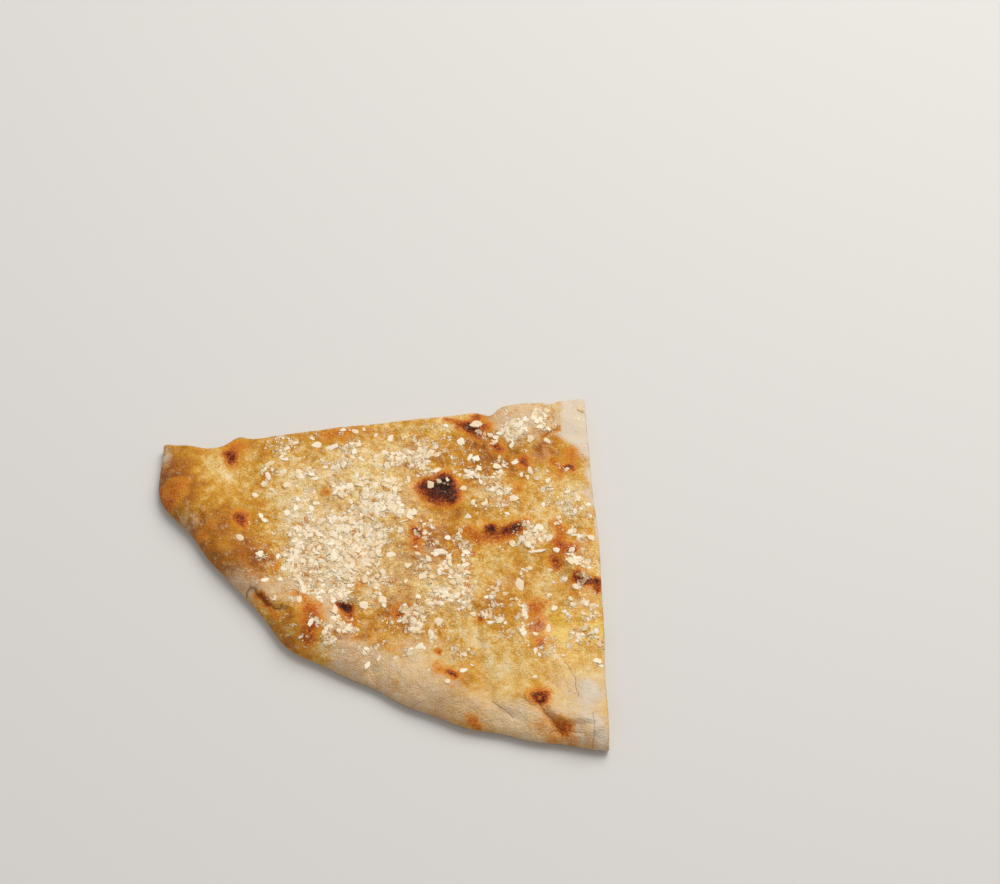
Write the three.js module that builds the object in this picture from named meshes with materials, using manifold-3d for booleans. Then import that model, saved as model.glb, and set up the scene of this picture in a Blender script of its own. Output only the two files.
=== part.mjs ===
// One quarter of a thin, round, blistered focaccia, with grated hard cheese baked on top.
// Millimetres, +Z up. The slice lies on its flat underside. Its pointed tip is towards
// +X and +Y, its round crust towards -X and -Y, and the origin is under the middle of its box.
//
// Places on the slice are given from the corner where its two cuts meet: x to the right, y away
// from the round crust.

import * as THREE from 'three';
import { ConvexGeometry } from 'three/addons/geometries/ConvexGeometry.js';
import { mergeVertices } from 'three/addons/utils/BufferGeometryUtils.js';
import Module from 'manifold-3d';

const wasm = await Module();
wasm.setup();

// ---------------------------------------------------------------- driving dimensions

const CORNER = { x: 73.0, y: 67.44 }; // where the two straight cuts meet, from the origin

const LEFT_CUT_ANGLE = 187.3; // degrees, direction of the longer cut from the corner
const RIGHT_CUT_ANGLE = 272.3; // degrees, direction of the shorter cut from the corner

// Corner to crust, at equal steps of angle from the left cut round to the right cut.
const RIM_RADII = [151.9, 156.0, 149.2, 144.8, 142.2, 142.4, 138.9, 135.6, 134.9, 135.4, 134.0, 135.3, 136.8];
const RIM_RIPPLE = 0.35; // small waves of the crust line

const THICKNESS = 6.4; // dough in the middle of the slice
const RIM_SWELL = 1.7; // how much higher the crust stands
const RIM_SWELL_FROM_EDGE = 10;
const RIM_SWELL_WIDTH = 9;
const RIM_MIDDLE_HEIGHT = 2.8; // where the crust bulges out furthest
const RIM_ROUND_TOP = 8; // width of the rounding above that height
const RIM_ROUND_BOTTOM = 4; // width of the rounding below it
const CUT_EDGE_DROP = 0.9; // the top skin is pressed down along both cuts
const CUT_EDGE_WIDTH = 1.6;
const CUT_WAVE = 0.35; // how far the cut faces wander from a straight line
const CUT_PUSH_DEPTH = 9; // how far into the slice an uneven cut still moves the dough
const TIP_ROUNDING = 0.8;
const TIP_DRAWN_OUT = 2.4; // how far the knife dragged the pointed tip beyond the corner
const TIP_DRAWN_WIDTH = 75;

const GRID = 48; // rings of faces from the corner to the crust
const RIM_RINGS = 6; // of them, those that round the crust
const FLAT_RINGS = 44; // of them, those that lie flat on the underside
const FLAT_MIDDLE_DISTANCE = 90; // from the corner to the middle of the flat underside
const CUT_ROWS = 3; // rows of faces up each cut face

// Soft round swellings where the dough blistered in the oven.
const DOMES = [
  { x: -134, y: -42, radius: 17, height: 2.0 },
  { x: -123, y: -66, radius: 14, height: 1.7 },
  { x: -94, y: -89, radius: 14, height: 2.1 },
  { x: -82, y: -100, radius: 12, height: 1.1 },
  { x: -1.5, y: -115, radius: 8, height: 1.9 },
  { x: -48, y: -117, radius: 14, height: 0.9 },
  { x: -20, y: -98, radius: 16, height: 1.3 },
  { x: -51.5, y: -36.5, radius: 10, height: 1.7 },
  { x: -20, y: -12, radius: 12, height: 1.5 },
  { x: -109, y: -30, radius: 12, height: 0.7 },
  { x: -73, y: -42, radius: 14, height: 0.6 },
  { x: -23.5, y: -41, radius: 12, height: 0.9 },
  { x: -90, y: -66, radius: 15, height: 0.8 },
  { x: -60, y: -82, radius: 12, height: 0.6 },
  { x: -143, y: -30, radius: 10, height: 0.8 },
  { x: -133.5, y: -61, radius: 5, height: 0.9 },
  { x: -10, y: -88, radius: 5, height: 0.9 },
  { x: 0.5, y: -92, radius: 4, height: 0.9 },
  { x: -1.5, y: -78, radius: 5, height: 0.8 },
  { x: -148, y: -44, radius: 6, height: 0.8 },
  { x: -68, y: -98, radius: 9, height: 0.7 },
  { x: -4.5, y: -44, radius: 6, height: 0.8 },
];

// Hollows between the blisters.
const DENTS = [
  { x: -35.7, y: -115, radius: 8, depth: 1.2 },
  { x: -50, y: -50, radius: 10, depth: 1.1 },
  { x: -15.7, y: -23.3, radius: 6, depth: 0.9 },
  { x: -60.4, y: -56, radius: 5, depth: 0.7 },
  { x: -83.4, y: -84, radius: 4, depth: 1.4 },
  { x: -5, y: -101, radius: 10, depth: 0.6 },
  { x: -128, y: -25, radius: 7, depth: 0.7 },
];

// Scorched ridges stand up along these lines.
const RIDGES = [
  { path: [[-12, -51], [-12, -60], [-6.5, -68], [3, -74]], width: 4.5, height: 1.3 },
  { path: [[-43, -56], [-34, -52], [-23, -51]], width: 4.5, height: 1.2 },
  { path: [[-88, -13.5], [-74, -10.5], [-47, -8.5], [-34, -12]], width: 5, height: 0.9 },
  { path: [[-10, -133], [-4, -134.5], [3, -131]], width: 4, height: 0.8 },
  { path: [[-132, -72], [-118, -85], [-104, -96]], width: 6, height: 0.7 },
];

// Creases sink in along these lines.
const CREASES = [
  { path: [[-38.8, -86], [-38.2, -100], [-36.4, -113], [-33.5, -121]], width: 4, depth: 1.1 },
  { path: [[-17.2, -122], [-13, -128], [-9.5, -133]], width: 3, depth: 1.3 },
  { path: [[-31, -124], [-23, -127.5]], width: 3, depth: 0.7 },
  { path: [[-75, -105], [-72, -115]], width: 3, depth: 0.7 },
  { path: [[-83.4, -84], [-82, -91], [-81, -97]], width: 4, depth: 1.0 },
  { path: [[-136.5, -48], [-133, -57]], width: 3.5, depth: 0.7 },
  { path: [[-127, -60.5], [-117, -59]], width: 3.5, depth: 0.8 },
];

// Along these lines the top skin has split and its inner side stands up as a lip.
const LIPS = [
  { path: [[-119, -78.5], [-116.5, -76.7], [-112, -81], [-109, -84], [-106, -85]], reach: 7, height: 1.3 },
  { path: [[-21, -121], [-15, -125], [-9, -129], [-2, -129]], reach: 6, height: 1.1 },
];

// Where the longer cut ran unevenly: how far from the corner, and how far its edge is set back,
// or stands out where that is below 0.
const LEFT_CUT_NOTCHES = [
  { from: 12.5, width: 1.8, depth: 1.2 },
  { from: 35, width: 3.2, depth: 3.0 },
  { from: 48, width: 9, depth: 0.8 },
  { from: 125, width: 3.2, depth: -2.1 },
  { from: 136, width: 7, depth: 2.6 },
  { from: 152, width: 3.5, depth: -2.4 },
];
const RIGHT_CUT_NOTCHES = [{ from: 78, width: 45, depth: -1.6 }];

// Small random blisters between the named ones.
const BLISTER_SEED = 20;
const BLISTER_COUNT = 70;
const BLISTER_RADIUS = { least: 4, most: 9 };
const BLISTER_HEIGHT = { least: 0.25, most: 0.75 };

// Grated cheese: where it lies thickest, on top of a thin sprinkling all over.
const CHEESE_ZONES = [
  { x: -80, y: -57, radius: 22, amount: 1.0 },
  { x: -87, y: -33, radius: 17, amount: 0.75 },
  { x: -83, y: -74, radius: 13, amount: 0.8 },
  { x: -100, y: -66, radius: 11, amount: 0.8 },
  { x: -52, y: -78, radius: 14, amount: 1.0 },
  { x: -62, y: -70, radius: 9, amount: 0.7 },
  { x: -34, y: -38, radius: 8, amount: 0.9 },
  { x: -18, y: -54, radius: 6, amount: 1.0 },
  { x: -4, y: -66, radius: 7, amount: 1.0 },
  { x: -20, y: -11, radius: 10, amount: 0.7 },
  { x: -66, y: -22, radius: 15, amount: 0.6 },
  { x: -66, y: -43, radius: 9, amount: 0.8 },
  { x: -105, y: -32, radius: 9, amount: 0.5 },
  { x: -3, y: -46, radius: 5, amount: 0.7 },
  { x: -86, y: -90, radius: 6, amount: 0.5 },
];
const THIN_SPRINKLING = 0.08;
const BARE_CRUST_X = -122; // to the left of this line the crust has no cheese
const CHEESE_LAYER = 0.6; // the finest crumbs, as a layer where the cheese lies thickest
const CHEESE_RUBBLE = 0.55; // the unevenness of that layer

// The largest pieces of cheese: place, length, width and turn in degrees.
const LARGE_CHEESE = [
  { x: -39.6, y: -9.6, length: 5.4, width: 4.6, turn: 20 },
  { x: -34.2, y: -14.1, length: 3.2, width: 2.2, turn: 0 },
  { x: -47.7, y: -23.3, length: 3.6, width: 1.8, turn: 70 },
  { x: -53.0, y: -28.6, length: 5.0, width: 3.8, turn: 50 },
  { x: -49.0, y: -33.2, length: 4.4, width: 3.2, turn: 120 },
  { x: -55.2, y: -35.2, length: 4.2, width: 3.2, turn: 100 },
  { x: -62.3, y: -48.2, length: 5.2, width: 4.2, turn: 110 },
  { x: -48.8, y: -56.2, length: 3.6, width: 3.0, turn: 20 },
  { x: -41.9, y: -47.7, length: 4.2, width: 3.2, turn: 160 },
  { x: -51.6, y: -62.3, length: 6.6, width: 2.6, turn: 170 },
  { x: -43.5, y: -68.3, length: 7.0, width: 2.2, turn: 65 },
  { x: -17.7, y: -62.7, length: 9.6, width: 1.9, turn: 10 },
  { x: -23.7, y: -75.4, length: 7.4, width: 3.6, turn: 100 },
  { x: -22.7, y: -87.2, length: 4.0, width: 3.4, turn: 170 },
  { x: -59.8, y: -92.7, length: 5.4, width: 3.6, turn: 170 },
  { x: -51.9, y: -90.0, length: 5.0, width: 4.2, turn: 40 },
  { x: -83.0, y: -79.6, length: 4.6, width: 3.8, turn: 30 },
  { x: -82.7, y: -94.6, length: 5.0, width: 3.8, turn: 60 },
  { x: -87.4, y: -86.8, length: 6.4, width: 2.8, turn: 95 },
  { x: -75.9, y: -106.2, length: 4.8, width: 3.4, turn: 80 },
  { x: -72.0, y: -104.5, length: 3.6, width: 2.4, turn: 60 },
  { x: -121.6, y: -57.4, length: 4.6, width: 3.8, turn: 130 },
  { x: -112.9, y: -31.7, length: 4.4, width: 2.4, turn: 110 },
  { x: -96.2, y: -32.5, length: 5.2, width: 2.0, turn: 175 },
  { x: -102.0, y: -29.6, length: 3.8, width: 3.4, turn: 0 },
  { x: -108.3, y: -30.4, length: 3.4, width: 2.6, turn: 30 },
  { x: -105.6, y: -46.1, length: 4.4, width: 3.0, turn: 100 },
  { x: -82.6, y: -12.8, length: 3.8, width: 2.8, turn: 150 },
  { x: -103.6, y: -17.5, length: 4.0, width: 2.4, turn: 20 },
  { x: -91.0, y: -19.5, length: 7.0, width: 2.2, turn: 20 },
  { x: -58.0, y: -99.6, length: 4.4, width: 3.4, turn: 40 },
  { x: -18.7, y: -95.0, length: 4.0, width: 2.6, turn: 130 },
  { x: -17.0, y: -53.0, length: 4.6, width: 3.6, turn: 30 },
  { x: -22.6, y: -57.8, length: 3.8, width: 2.8, turn: 150 },
  { x: -32.4, y: -35.8, length: 4.4, width: 3.4, turn: 10 },
  { x: -35.9, y: -42.6, length: 4.0, width: 3.0, turn: 80 },
  { x: -30.6, y: -29.6, length: 3.8, width: 2.8, turn: 60 },
  { x: -25.3, y: -25.6, length: 3.4, width: 2.6, turn: 10 },
  { x: -20.0, y: -28.9, length: 4.4, width: 2.6, turn: 110 },
  { x: -41.3, y: -23.3, length: 3.8, width: 2.4, turn: 70 },
  { x: -9.5, y: -44.0, length: 3.8, width: 2.8, turn: 60 },
  { x: -23.8, y: -11.0, length: 4.2, width: 3.0, turn: 35 },
  { x: -16.0, y: -8.6, length: 3.6, width: 2.6, turn: 95 },
  { x: -6.4, y: -66.4, length: 4.6, width: 3.4, turn: 150 },
  { x: -0.6, y: -69.0, length: 3.8, width: 2.8, turn: 20 },
  { x: -34.8, y: -88.0, length: 3.6, width: 2.4, turn: 40 },
  { x: -117.2, y: -39.1, length: 3.4, width: 2.4, turn: 160 },
];
const CHEESE_SEED = 61;
const CHEESE_COUNT = 130; // with the named pieces
const CHEESE_LENGTH = { least: 2.8, most: 5.2 };
const CHEESE_SLENDERNESS = { least: 0.45, most: 0.85 };
const CHEESE_THICKNESS = { least: 1.3, most: 2.1 };
const CHEESE_SUNK = 0.22; // share of its thickness by which a piece's middle lies below the skin
const CHEESE_TILT = 12; // degrees
const CHEESE_CORNERS = 5; // round the outline of a piece
const CHEESE_SPACING = 4.6; // between the middles of two pieces
const CHEESE_FROM_EDGE = 4.0;

const CRUST_COLOUR = 0xd9ac67;

// ---------------------------------------------------------------- helpers

// Draws the same numbers between 0 and 1 on every run.
function makeRandom(seed) {
  const multiplier = 48271;
  const modulus = 2147483647;
  let state = seed;
  return () => {
    state = (state * multiplier) % modulus;
    return state / modulus;
  };
}

function drawBetween(random, range) {
  return range.least + (range.most - range.least) * random();
}

// Falls smoothly from 1 at the middle to 0 at one radius.
function dome(distance, radius) {
  const q = Math.min(distance / radius, 1);
  return (1 - q * q) ** 2;
}

function bell(distance, width) {
  return Math.exp(-((distance / width) ** 2));
}

// The nearest point of a line of straight stretches: how far it is, and on which side.
function nearestOnPath(x, y, path) {
  let nearest = { distance: Infinity, side: 1 };
  for (let i = 0; i + 1 < path.length; i += 1) {
    const [ax, ay] = path[i];
    const [bx, by] = path[i + 1];
    const alongX = bx - ax;
    const alongY = by - ay;
    const share = ((x - ax) * alongX + (y - ay) * alongY) / (alongX ** 2 + alongY ** 2);
    const clamped = Math.min(Math.max(share, 0), 1);
    const distance = Math.hypot(x - ax - alongX * clamped, y - ay - alongY * clamped);
    if (distance < nearest.distance) {
      const side = Math.sign(alongX * (y - ay) - alongY * (x - ax));
      nearest = { distance, side };
    }
  }
  return nearest;
}

// ---------------------------------------------------------------- outline

const SWEEP = RIGHT_CUT_ANGLE - LEFT_CUT_ANGLE;

// Corner to crust at a share of the way round, as a smooth curve through RIM_RADII.
function rimRadius(share) {
  const last = RIM_RADII.length - 1;
  const position = Math.min(Math.max(share, 0), 1) * last;
  const i = Math.min(Math.floor(position), last - 1);
  const t = position - i;
  const before = RIM_RADII[Math.max(i - 1, 0)];
  const start = RIM_RADII[i];
  const end = RIM_RADII[i + 1];
  const after = RIM_RADII[Math.min(i + 2, last)];
  const smooth = 0.5 * (2 * start + (end - before) * t
    + (2 * before - 5 * start + 4 * end - after) * t ** 2
    + (3 * start - before - 3 * end + after) * t ** 3);
  return smooth + RIM_RIPPLE * (Math.sin(31 * share + 0.6) + 0.6 * Math.sin(57 * share + 2.1));
}

// A point at a share of the way round and at a distance from the corner, before the cuts wander.
function polarPoint(share, distance) {
  const angle = THREE.MathUtils.degToRad(LEFT_CUT_ANGLE + SWEEP * share);
  return { x: distance * Math.cos(angle), y: distance * Math.sin(angle) };
}

function notchDepth(notches, distance) {
  let depth = 0;
  for (const notch of notches) depth += notch.depth * bell(distance - notch.from, notch.width);
  return depth;
}

// The cuts wander a little and have notches, and the tip is drawn out and not knife sharp.
function wander(share, distance) {
  const point = polarPoint(share, distance);
  const fromLeft = distance * Math.sin(THREE.MathUtils.degToRad(SWEEP * share));
  const fromRight = distance * Math.sin(THREE.MathUtils.degToRad(SWEEP * (1 - share)));
  const awayFromTip = 1 - bell(distance, 12);
  const leftWave = CUT_WAVE * Math.sin(distance / 6.5 + 1) * Math.sin(distance / 17);
  const rightWave = CUT_WAVE * Math.sin(distance / 7.5) * Math.sin(distance / 21 + 2);
  const inFromLeft = leftWave + notchDepth(LEFT_CUT_NOTCHES, distance);
  const inFromRight = rightWave + notchDepth(RIGHT_CUT_NOTCHES, distance);
  const leftPush = inFromLeft * awayFromTip * Math.exp(-fromLeft / CUT_PUSH_DEPTH);
  const rightPush = inFromRight * awayFromTip * Math.exp(-fromRight / CUT_PUSH_DEPTH);
  const leftAngle = THREE.MathUtils.degToRad(LEFT_CUT_ANGLE + 90);
  const rightAngle = THREE.MathUtils.degToRad(RIGHT_CUT_ANGLE - 90);
  const middleAngle = THREE.MathUtils.degToRad(LEFT_CUT_ANGLE + SWEEP / 2);
  const tipPush = TIP_ROUNDING * Math.exp(-distance / 1.5);
  point.x += leftPush * Math.cos(leftAngle) + rightPush * Math.cos(rightAngle);
  point.y += leftPush * Math.sin(leftAngle) + rightPush * Math.sin(rightAngle);
  point.x += tipPush * Math.cos(middleAngle);
  point.y += tipPush * Math.sin(middleAngle) + TIP_DRAWN_OUT * bell(distance, TIP_DRAWN_WIDTH);
  return point;
}

// ---------------------------------------------------------------- the top skin

// Where a point lies in the slice: its share of the way round, and how far from each edge.
function placeInSlice(x, y) {
  const fromCorner = Math.hypot(x, y);
  const angle = THREE.MathUtils.euclideanModulo(THREE.MathUtils.radToDeg(Math.atan2(y, x)), 360);
  const share = (angle - LEFT_CUT_ANGLE) / SWEEP;
  const fromLeft = fromCorner * Math.sin(THREE.MathUtils.degToRad(SWEEP * share));
  const fromRight = fromCorner * Math.sin(THREE.MathUtils.degToRad(SWEEP * (1 - share)));
  const fromRim = rimRadius(share) - fromCorner;
  return { share, fromCorner, fromRim, fromCut: Math.min(fromLeft, fromRight) };
}

function cheeseAmount(x, y) {
  let amount = THIN_SPRINKLING;
  for (const zone of CHEESE_ZONES) {
    amount += zone.amount * bell(Math.hypot(x - zone.x, y - zone.y), zone.radius);
  }
  const offCrust = THREE.MathUtils.smoothstep(x, BARE_CRUST_X, BARE_CRUST_X + 12);
  return Math.min(amount, 1) * offCrust;
}

function scatterBlisters() {
  const random = makeRandom(BLISTER_SEED);
  const blisters = [];
  while (blisters.length < BLISTER_COUNT) {
    const x = -155 + 160 * random();
    const y = -137 * random();
    const radius = drawBetween(random, BLISTER_RADIUS);
    const height = drawBetween(random, BLISTER_HEIGHT);
    const place = placeInSlice(x, y);
    const inside = place.share > 0 && place.share < 1 && place.fromRim > 3;
    if (inside) blisters.push({ x, y, radius, height });
  }
  return blisters;
}

const BLISTERS = scatterBlisters();

// Height of the dough before its crust is rounded down.
function doughHeight(x, y, fromRim) {
  let height = THICKNESS + RIM_SWELL * bell(fromRim - RIM_SWELL_FROM_EDGE, RIM_SWELL_WIDTH);
  height += 0.4 * Math.sin(x / 11 + 1.3) * Math.sin(y / 13 - 0.7);
  height += 0.2 * Math.sin(x / 6.1 + y / 7.7);
  for (const swelling of DOMES.concat(BLISTERS)) {
    height += swelling.height * dome(Math.hypot(x - swelling.x, y - swelling.y), swelling.radius);
  }
  for (const dent of DENTS) {
    height -= dent.depth * dome(Math.hypot(x - dent.x, y - dent.y), dent.radius);
  }
  for (const ridge of RIDGES) {
    height += ridge.height * bell(nearestOnPath(x, y, ridge.path).distance, ridge.width / 2);
  }
  for (const crease of CREASES) {
    height -= crease.depth * bell(nearestOnPath(x, y, crease.path).distance, crease.width / 2);
  }
  for (const lip of LIPS) {
    const { distance, side } = nearestOnPath(x, y, lip.path);
    if (side > 0) height += lip.height * dome(distance, lip.reach);
  }
  return height + CHEESE_LAYER * cheeseAmount(x, y);
}

function rimRounding(fromRim, width) {
  const inward = Math.min(Math.max(fromRim / width, 0), 1);
  return Math.sqrt(1 - (1 - inward) ** 2);
}

function topHeight(x, y, place) {
  const dough = doughHeight(x, y, place.fromRim);
  const pressed = dough - CUT_EDGE_DROP * Math.exp(-Math.max(place.fromCut, 0) / CUT_EDGE_WIDTH);
  const rounding = rimRounding(place.fromRim, RIM_ROUND_TOP);
  return RIM_MIDDLE_HEIGHT + (pressed - RIM_MIDDLE_HEIGHT) * rounding;
}

function bottomHeight(place) {
  return RIM_MIDDLE_HEIGHT * (1 - rimRounding(place.fromRim, RIM_ROUND_BOTTOM));
}

// ---------------------------------------------------------------- the bread as one closed mesh

// How far a ring lies from the corner, with the last rings packed round the crust.
function ringDistance(ring, radius) {
  const evenRings = GRID - RIM_RINGS;
  const evenReach = radius - RIM_ROUND_TOP;
  if (ring <= evenRings) return (evenReach * ring) / evenRings;
  const turn = ((ring - evenRings) / RIM_RINGS) * (Math.PI / 2);
  return evenReach + RIM_ROUND_TOP * Math.sin(turn);
}

// Column 0 runs along the right cut and row 0 along the left cut. Both start at the tip.
function gridPlace(column, row) {
  const ring = Math.max(column, row);
  let share = 0.5;
  if (ring > 0) share = column >= row ? (0.5 * row) / column : 1 - (0.5 * column) / row;
  const radius = rimRadius(share);
  const fromCorner = ringDistance(ring, radius);
  const angle = THREE.MathUtils.degToRad(SWEEP * share);
  const otherAngle = THREE.MathUtils.degToRad(SWEEP) - angle;
  const fromCut = fromCorner * Math.min(Math.sin(angle), Math.sin(otherAngle));
  return { share, fromCorner, fromRim: radius - fromCorner, fromCut };
}

function buildBreadGeometry() {
  const positions = [];
  const faces = [];
  const random = makeRandom(CHEESE_SEED);

  const addVertex = (x, y, z) => {
    positions.push(x, y, z);
    return positions.length / 3 - 1;
  };
  const addQuad = (a, b, c, d) => {
    if (a !== b && b !== c && a !== c) faces.push(a, b, c);
    if (a !== c && c !== d && a !== d) faces.push(a, c, d);
  };

  // The top and the underside share the vertices of the outermost ring.
  const top = [];
  const bottom = [];
  for (let column = 0; column <= GRID; column += 1) {
    top.push([]);
    bottom.push([]);
    for (let row = 0; row <= GRID; row += 1) {
      const place = gridPlace(column, row);
      const { x, y } = wander(place.share, place.fromCorner);
      const ring = Math.max(column, row);
      const onRim = ring === GRID;
      const inFlat = ring < FLAT_RINGS && column > 0 && row > 0;
      const rubble = onRim ? 0 : CHEESE_RUBBLE * cheeseAmount(x, y) * random();
      const upper = addVertex(x, y, topHeight(x, y, place) + rubble);
      top[column].push(upper);
      if (inFlat) bottom[column].push(null);
      else bottom[column].push(onRim ? upper : addVertex(x, y, bottomHeight(place)));
    }
  }
  for (let column = 0; column < GRID; column += 1) {
    for (let row = 0; row < GRID; row += 1) {
      const [next, above] = [column + 1, row + 1];
      addQuad(top[column][row], top[next][row], top[next][above], top[column][above]);
      if (Math.max(next, above) <= FLAT_RINGS) continue;
      addQuad(bottom[column][above], bottom[next][above], bottom[next][row], bottom[column][row]);
    }
  }

  // The flat of the underside is a fan of triangles from its middle to its outline.
  const outline = [];
  for (let ring = 0; ring < FLAT_RINGS; ring += 1) outline.push(bottom[ring][0]);
  for (let row = 0; row < FLAT_RINGS; row += 1) outline.push(bottom[FLAT_RINGS][row]);
  for (let column = FLAT_RINGS; column > 0; column -= 1) outline.push(bottom[column][FLAT_RINGS]);
  for (let ring = FLAT_RINGS; ring > 0; ring -= 1) outline.push(bottom[0][ring]);
  const middle = addVertex(...Object.values(polarPoint(0.5, FLAT_MIDDLE_DISTANCE)), 0);
  outline.forEach((vertex, i) => {
    faces.push(middle, outline[(i + 1) % outline.length], vertex);
  });

  // Each cut face is a strip of quads between the edge of the top and that of the underside.
  const middleOf = (low, high, share) => {
    if (low === high) return low;
    const mix = (axis) => {
      const from = positions[3 * low + axis];
      return from + (positions[3 * high + axis] - from) * share;
    };
    return addVertex(mix(0), mix(1), mix(2));
  };
  const columnOf = (low, high) => {
    const column = [low];
    for (let row = 1; row < CUT_ROWS; row += 1) column.push(middleOf(low, high, row / CUT_ROWS));
    column.push(high);
    return column;
  };
  const tipColumn = columnOf(bottom[0][0], top[0][0]);
  const addCutFace = (lowEdge, highEdge, facesLeft) => {
    let previous = tipColumn;
    for (let step = 1; step <= GRID; step += 1) {
      const current = columnOf(lowEdge[step], highEdge[step]);
      for (let row = 0; row < CUT_ROWS; row += 1) {
        const corners = [previous[row], current[row], current[row + 1], previous[row + 1]];
        addQuad(...(facesLeft ? corners : corners.reverse()));
      }
      previous = current;
    }
  };
  addCutFace(bottom.map((column) => column[0]), top.map((column) => column[0]), true);
  addCutFace(bottom[0], top[0], false);

  const geometry = new THREE.BufferGeometry();
  geometry.setAttribute('position', new THREE.Float32BufferAttribute(positions, 3));
  geometry.setIndex(faces);
  return geometry;
}

// ---------------------------------------------------------------- the cheese

// An irregular chip: a ring of corners, and a smaller ring above and below it.
function buildChipGeometry(length, width, thickness, random) {
  const points = [];
  for (let corner = 0; corner < CHEESE_CORNERS; corner += 1) {
    const angle = (2 * Math.PI * (corner + 0.7 * random())) / CHEESE_CORNERS;
    const reach = 0.82 + 0.25 * random();
    const x = 0.5 * length * reach * Math.cos(angle);
    const y = 0.5 * width * reach * Math.sin(angle);
    const narrowing = 0.55 + 0.3 * random();
    points.push(new THREE.Vector3(x, y, -0.1 * thickness));
    points.push(new THREE.Vector3(x * narrowing, y * narrowing, 0.5 * thickness * (0.7 + 0.3 * random())));
  }
  points.push(new THREE.Vector3(0, 0, -0.5 * thickness));
  return new ConvexGeometry(points);
}

function skinHeight(x, y) {
  return topHeight(x, y, placeInSlice(x, y));
}

// Lays a chip on the skin, tilted with it.
function placeOnSkin(geometry, x, y, turn, tilt, thickness) {
  const step = 1.5;
  const slopeX = (skinHeight(x + step, y) - skinHeight(x - step, y)) / (2 * step);
  const slopeY = (skinHeight(x, y + step) - skinHeight(x, y - step)) / (2 * step);
  const normal = new THREE.Vector3(-slopeX, -slopeY, 1).normalize();
  const lie = new THREE.Quaternion().setFromUnitVectors(new THREE.Vector3(0, 0, 1), normal);
  const spin = new THREE.Quaternion().setFromEuler(new THREE.Euler(tilt.x, tilt.y, turn, 'ZYX'));
  geometry.applyQuaternion(spin);
  geometry.applyQuaternion(lie);
  geometry.translate(x, y, skinHeight(x, y) - CHEESE_SUNK * thickness);
  return geometry;
}

// The named pieces, then random ones where the cheese lies thickest, none too close together.
function chooseCheese() {
  const random = makeRandom(CHEESE_SEED);
  const pieces = LARGE_CHEESE.map((piece) => ({ ...piece }));
  while (pieces.length < CHEESE_COUNT) {
    const x = -155 + 160 * random();
    const y = -137 * random();
    const chance = random();
    const length = drawBetween(random, CHEESE_LENGTH);
    const width = length * drawBetween(random, CHEESE_SLENDERNESS);
    const turn = 360 * random();
    const place = placeInSlice(x, y);
    const inside = place.fromRim > CHEESE_FROM_EDGE + 3 && place.fromCut > CHEESE_FROM_EDGE;
    const free = pieces.every((piece) => Math.hypot(piece.x - x, piece.y - y) > CHEESE_SPACING);
    if (inside && free && chance < cheeseAmount(x, y)) pieces.push({ x, y, length, width, turn });
  }
  return pieces;
}

function buildCheeseGeometries() {
  const random = makeRandom(CHEESE_SEED + 1);
  return chooseCheese().map((piece) => {
    const thickness = drawBetween(random, CHEESE_THICKNESS);
    const tiltRange = THREE.MathUtils.degToRad(CHEESE_TILT);
    const tilt = { x: tiltRange * (2 * random() - 1), y: tiltRange * (2 * random() - 1) };
    const chip = buildChipGeometry(piece.length, piece.width, thickness, random);
    return placeOnSkin(chip, piece.x, piece.y, THREE.MathUtils.degToRad(piece.turn), tilt, thickness);
  });
}

// ---------------------------------------------------------------- joining them

function toManifold(geometry) {
  const bare = geometry.clone();
  bare.deleteAttribute('normal');
  bare.deleteAttribute('uv');
  const merged = mergeVertices(bare, 1e-4);
  const vertProperties = new Float32Array(merged.attributes.position.array);
  const triVerts = new Uint32Array(merged.index.array);
  return new wasm.Manifold(new wasm.Mesh({ numProp: 3, vertProperties, triVerts }));
}

function toGeometry(manifold) {
  const mesh = manifold.getMesh();
  const geometry = new THREE.BufferGeometry();
  geometry.setAttribute('position', new THREE.BufferAttribute(new Float32Array(mesh.vertProperties), 3));
  geometry.setIndex(new THREE.BufferAttribute(new Uint32Array(mesh.triVerts), 1));
  geometry.computeVertexNormals();
  return geometry;
}

function buildSliceGeometry() {
  let slice = toManifold(buildBreadGeometry());
  for (const chip of buildCheeseGeometries()) slice = slice.add(toManifold(chip));
  return toGeometry(slice);
}

// ---------------------------------------------------------------- the slice

const crustMaterial = new THREE.MeshStandardMaterial({
  color: CRUST_COLOUR,
  roughness: 0.75,
  metalness: 0,
  flatShading: true,
});

const slice = new THREE.Mesh(buildSliceGeometry(), crustMaterial);
slice.name = 'focaccia_slice';
slice.position.set(CORNER.x, CORNER.y, 0);

const group = new THREE.Group();
group.add(slice);

export default group;
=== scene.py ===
# %% [markdown]
# # A slice of blistered focaccia with grated cheese
#
# The real thing is a quarter of a thin, round bread. The dough blistered in a very hot oven, so its
# skin is golden, scorched in spots, floury at the rim and oily here and there. Grated hard cheese
# lies on it in drifts. This script builds the looks of that slice around a solid of the same form.
#
# Lengths are written in millimetres, as a baker would measure them, and turned into metres where
# a mesh is made. Places on the slice are given from the corner where its two cuts meet: x to the
# right, y away from the round crust.

import math

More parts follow.
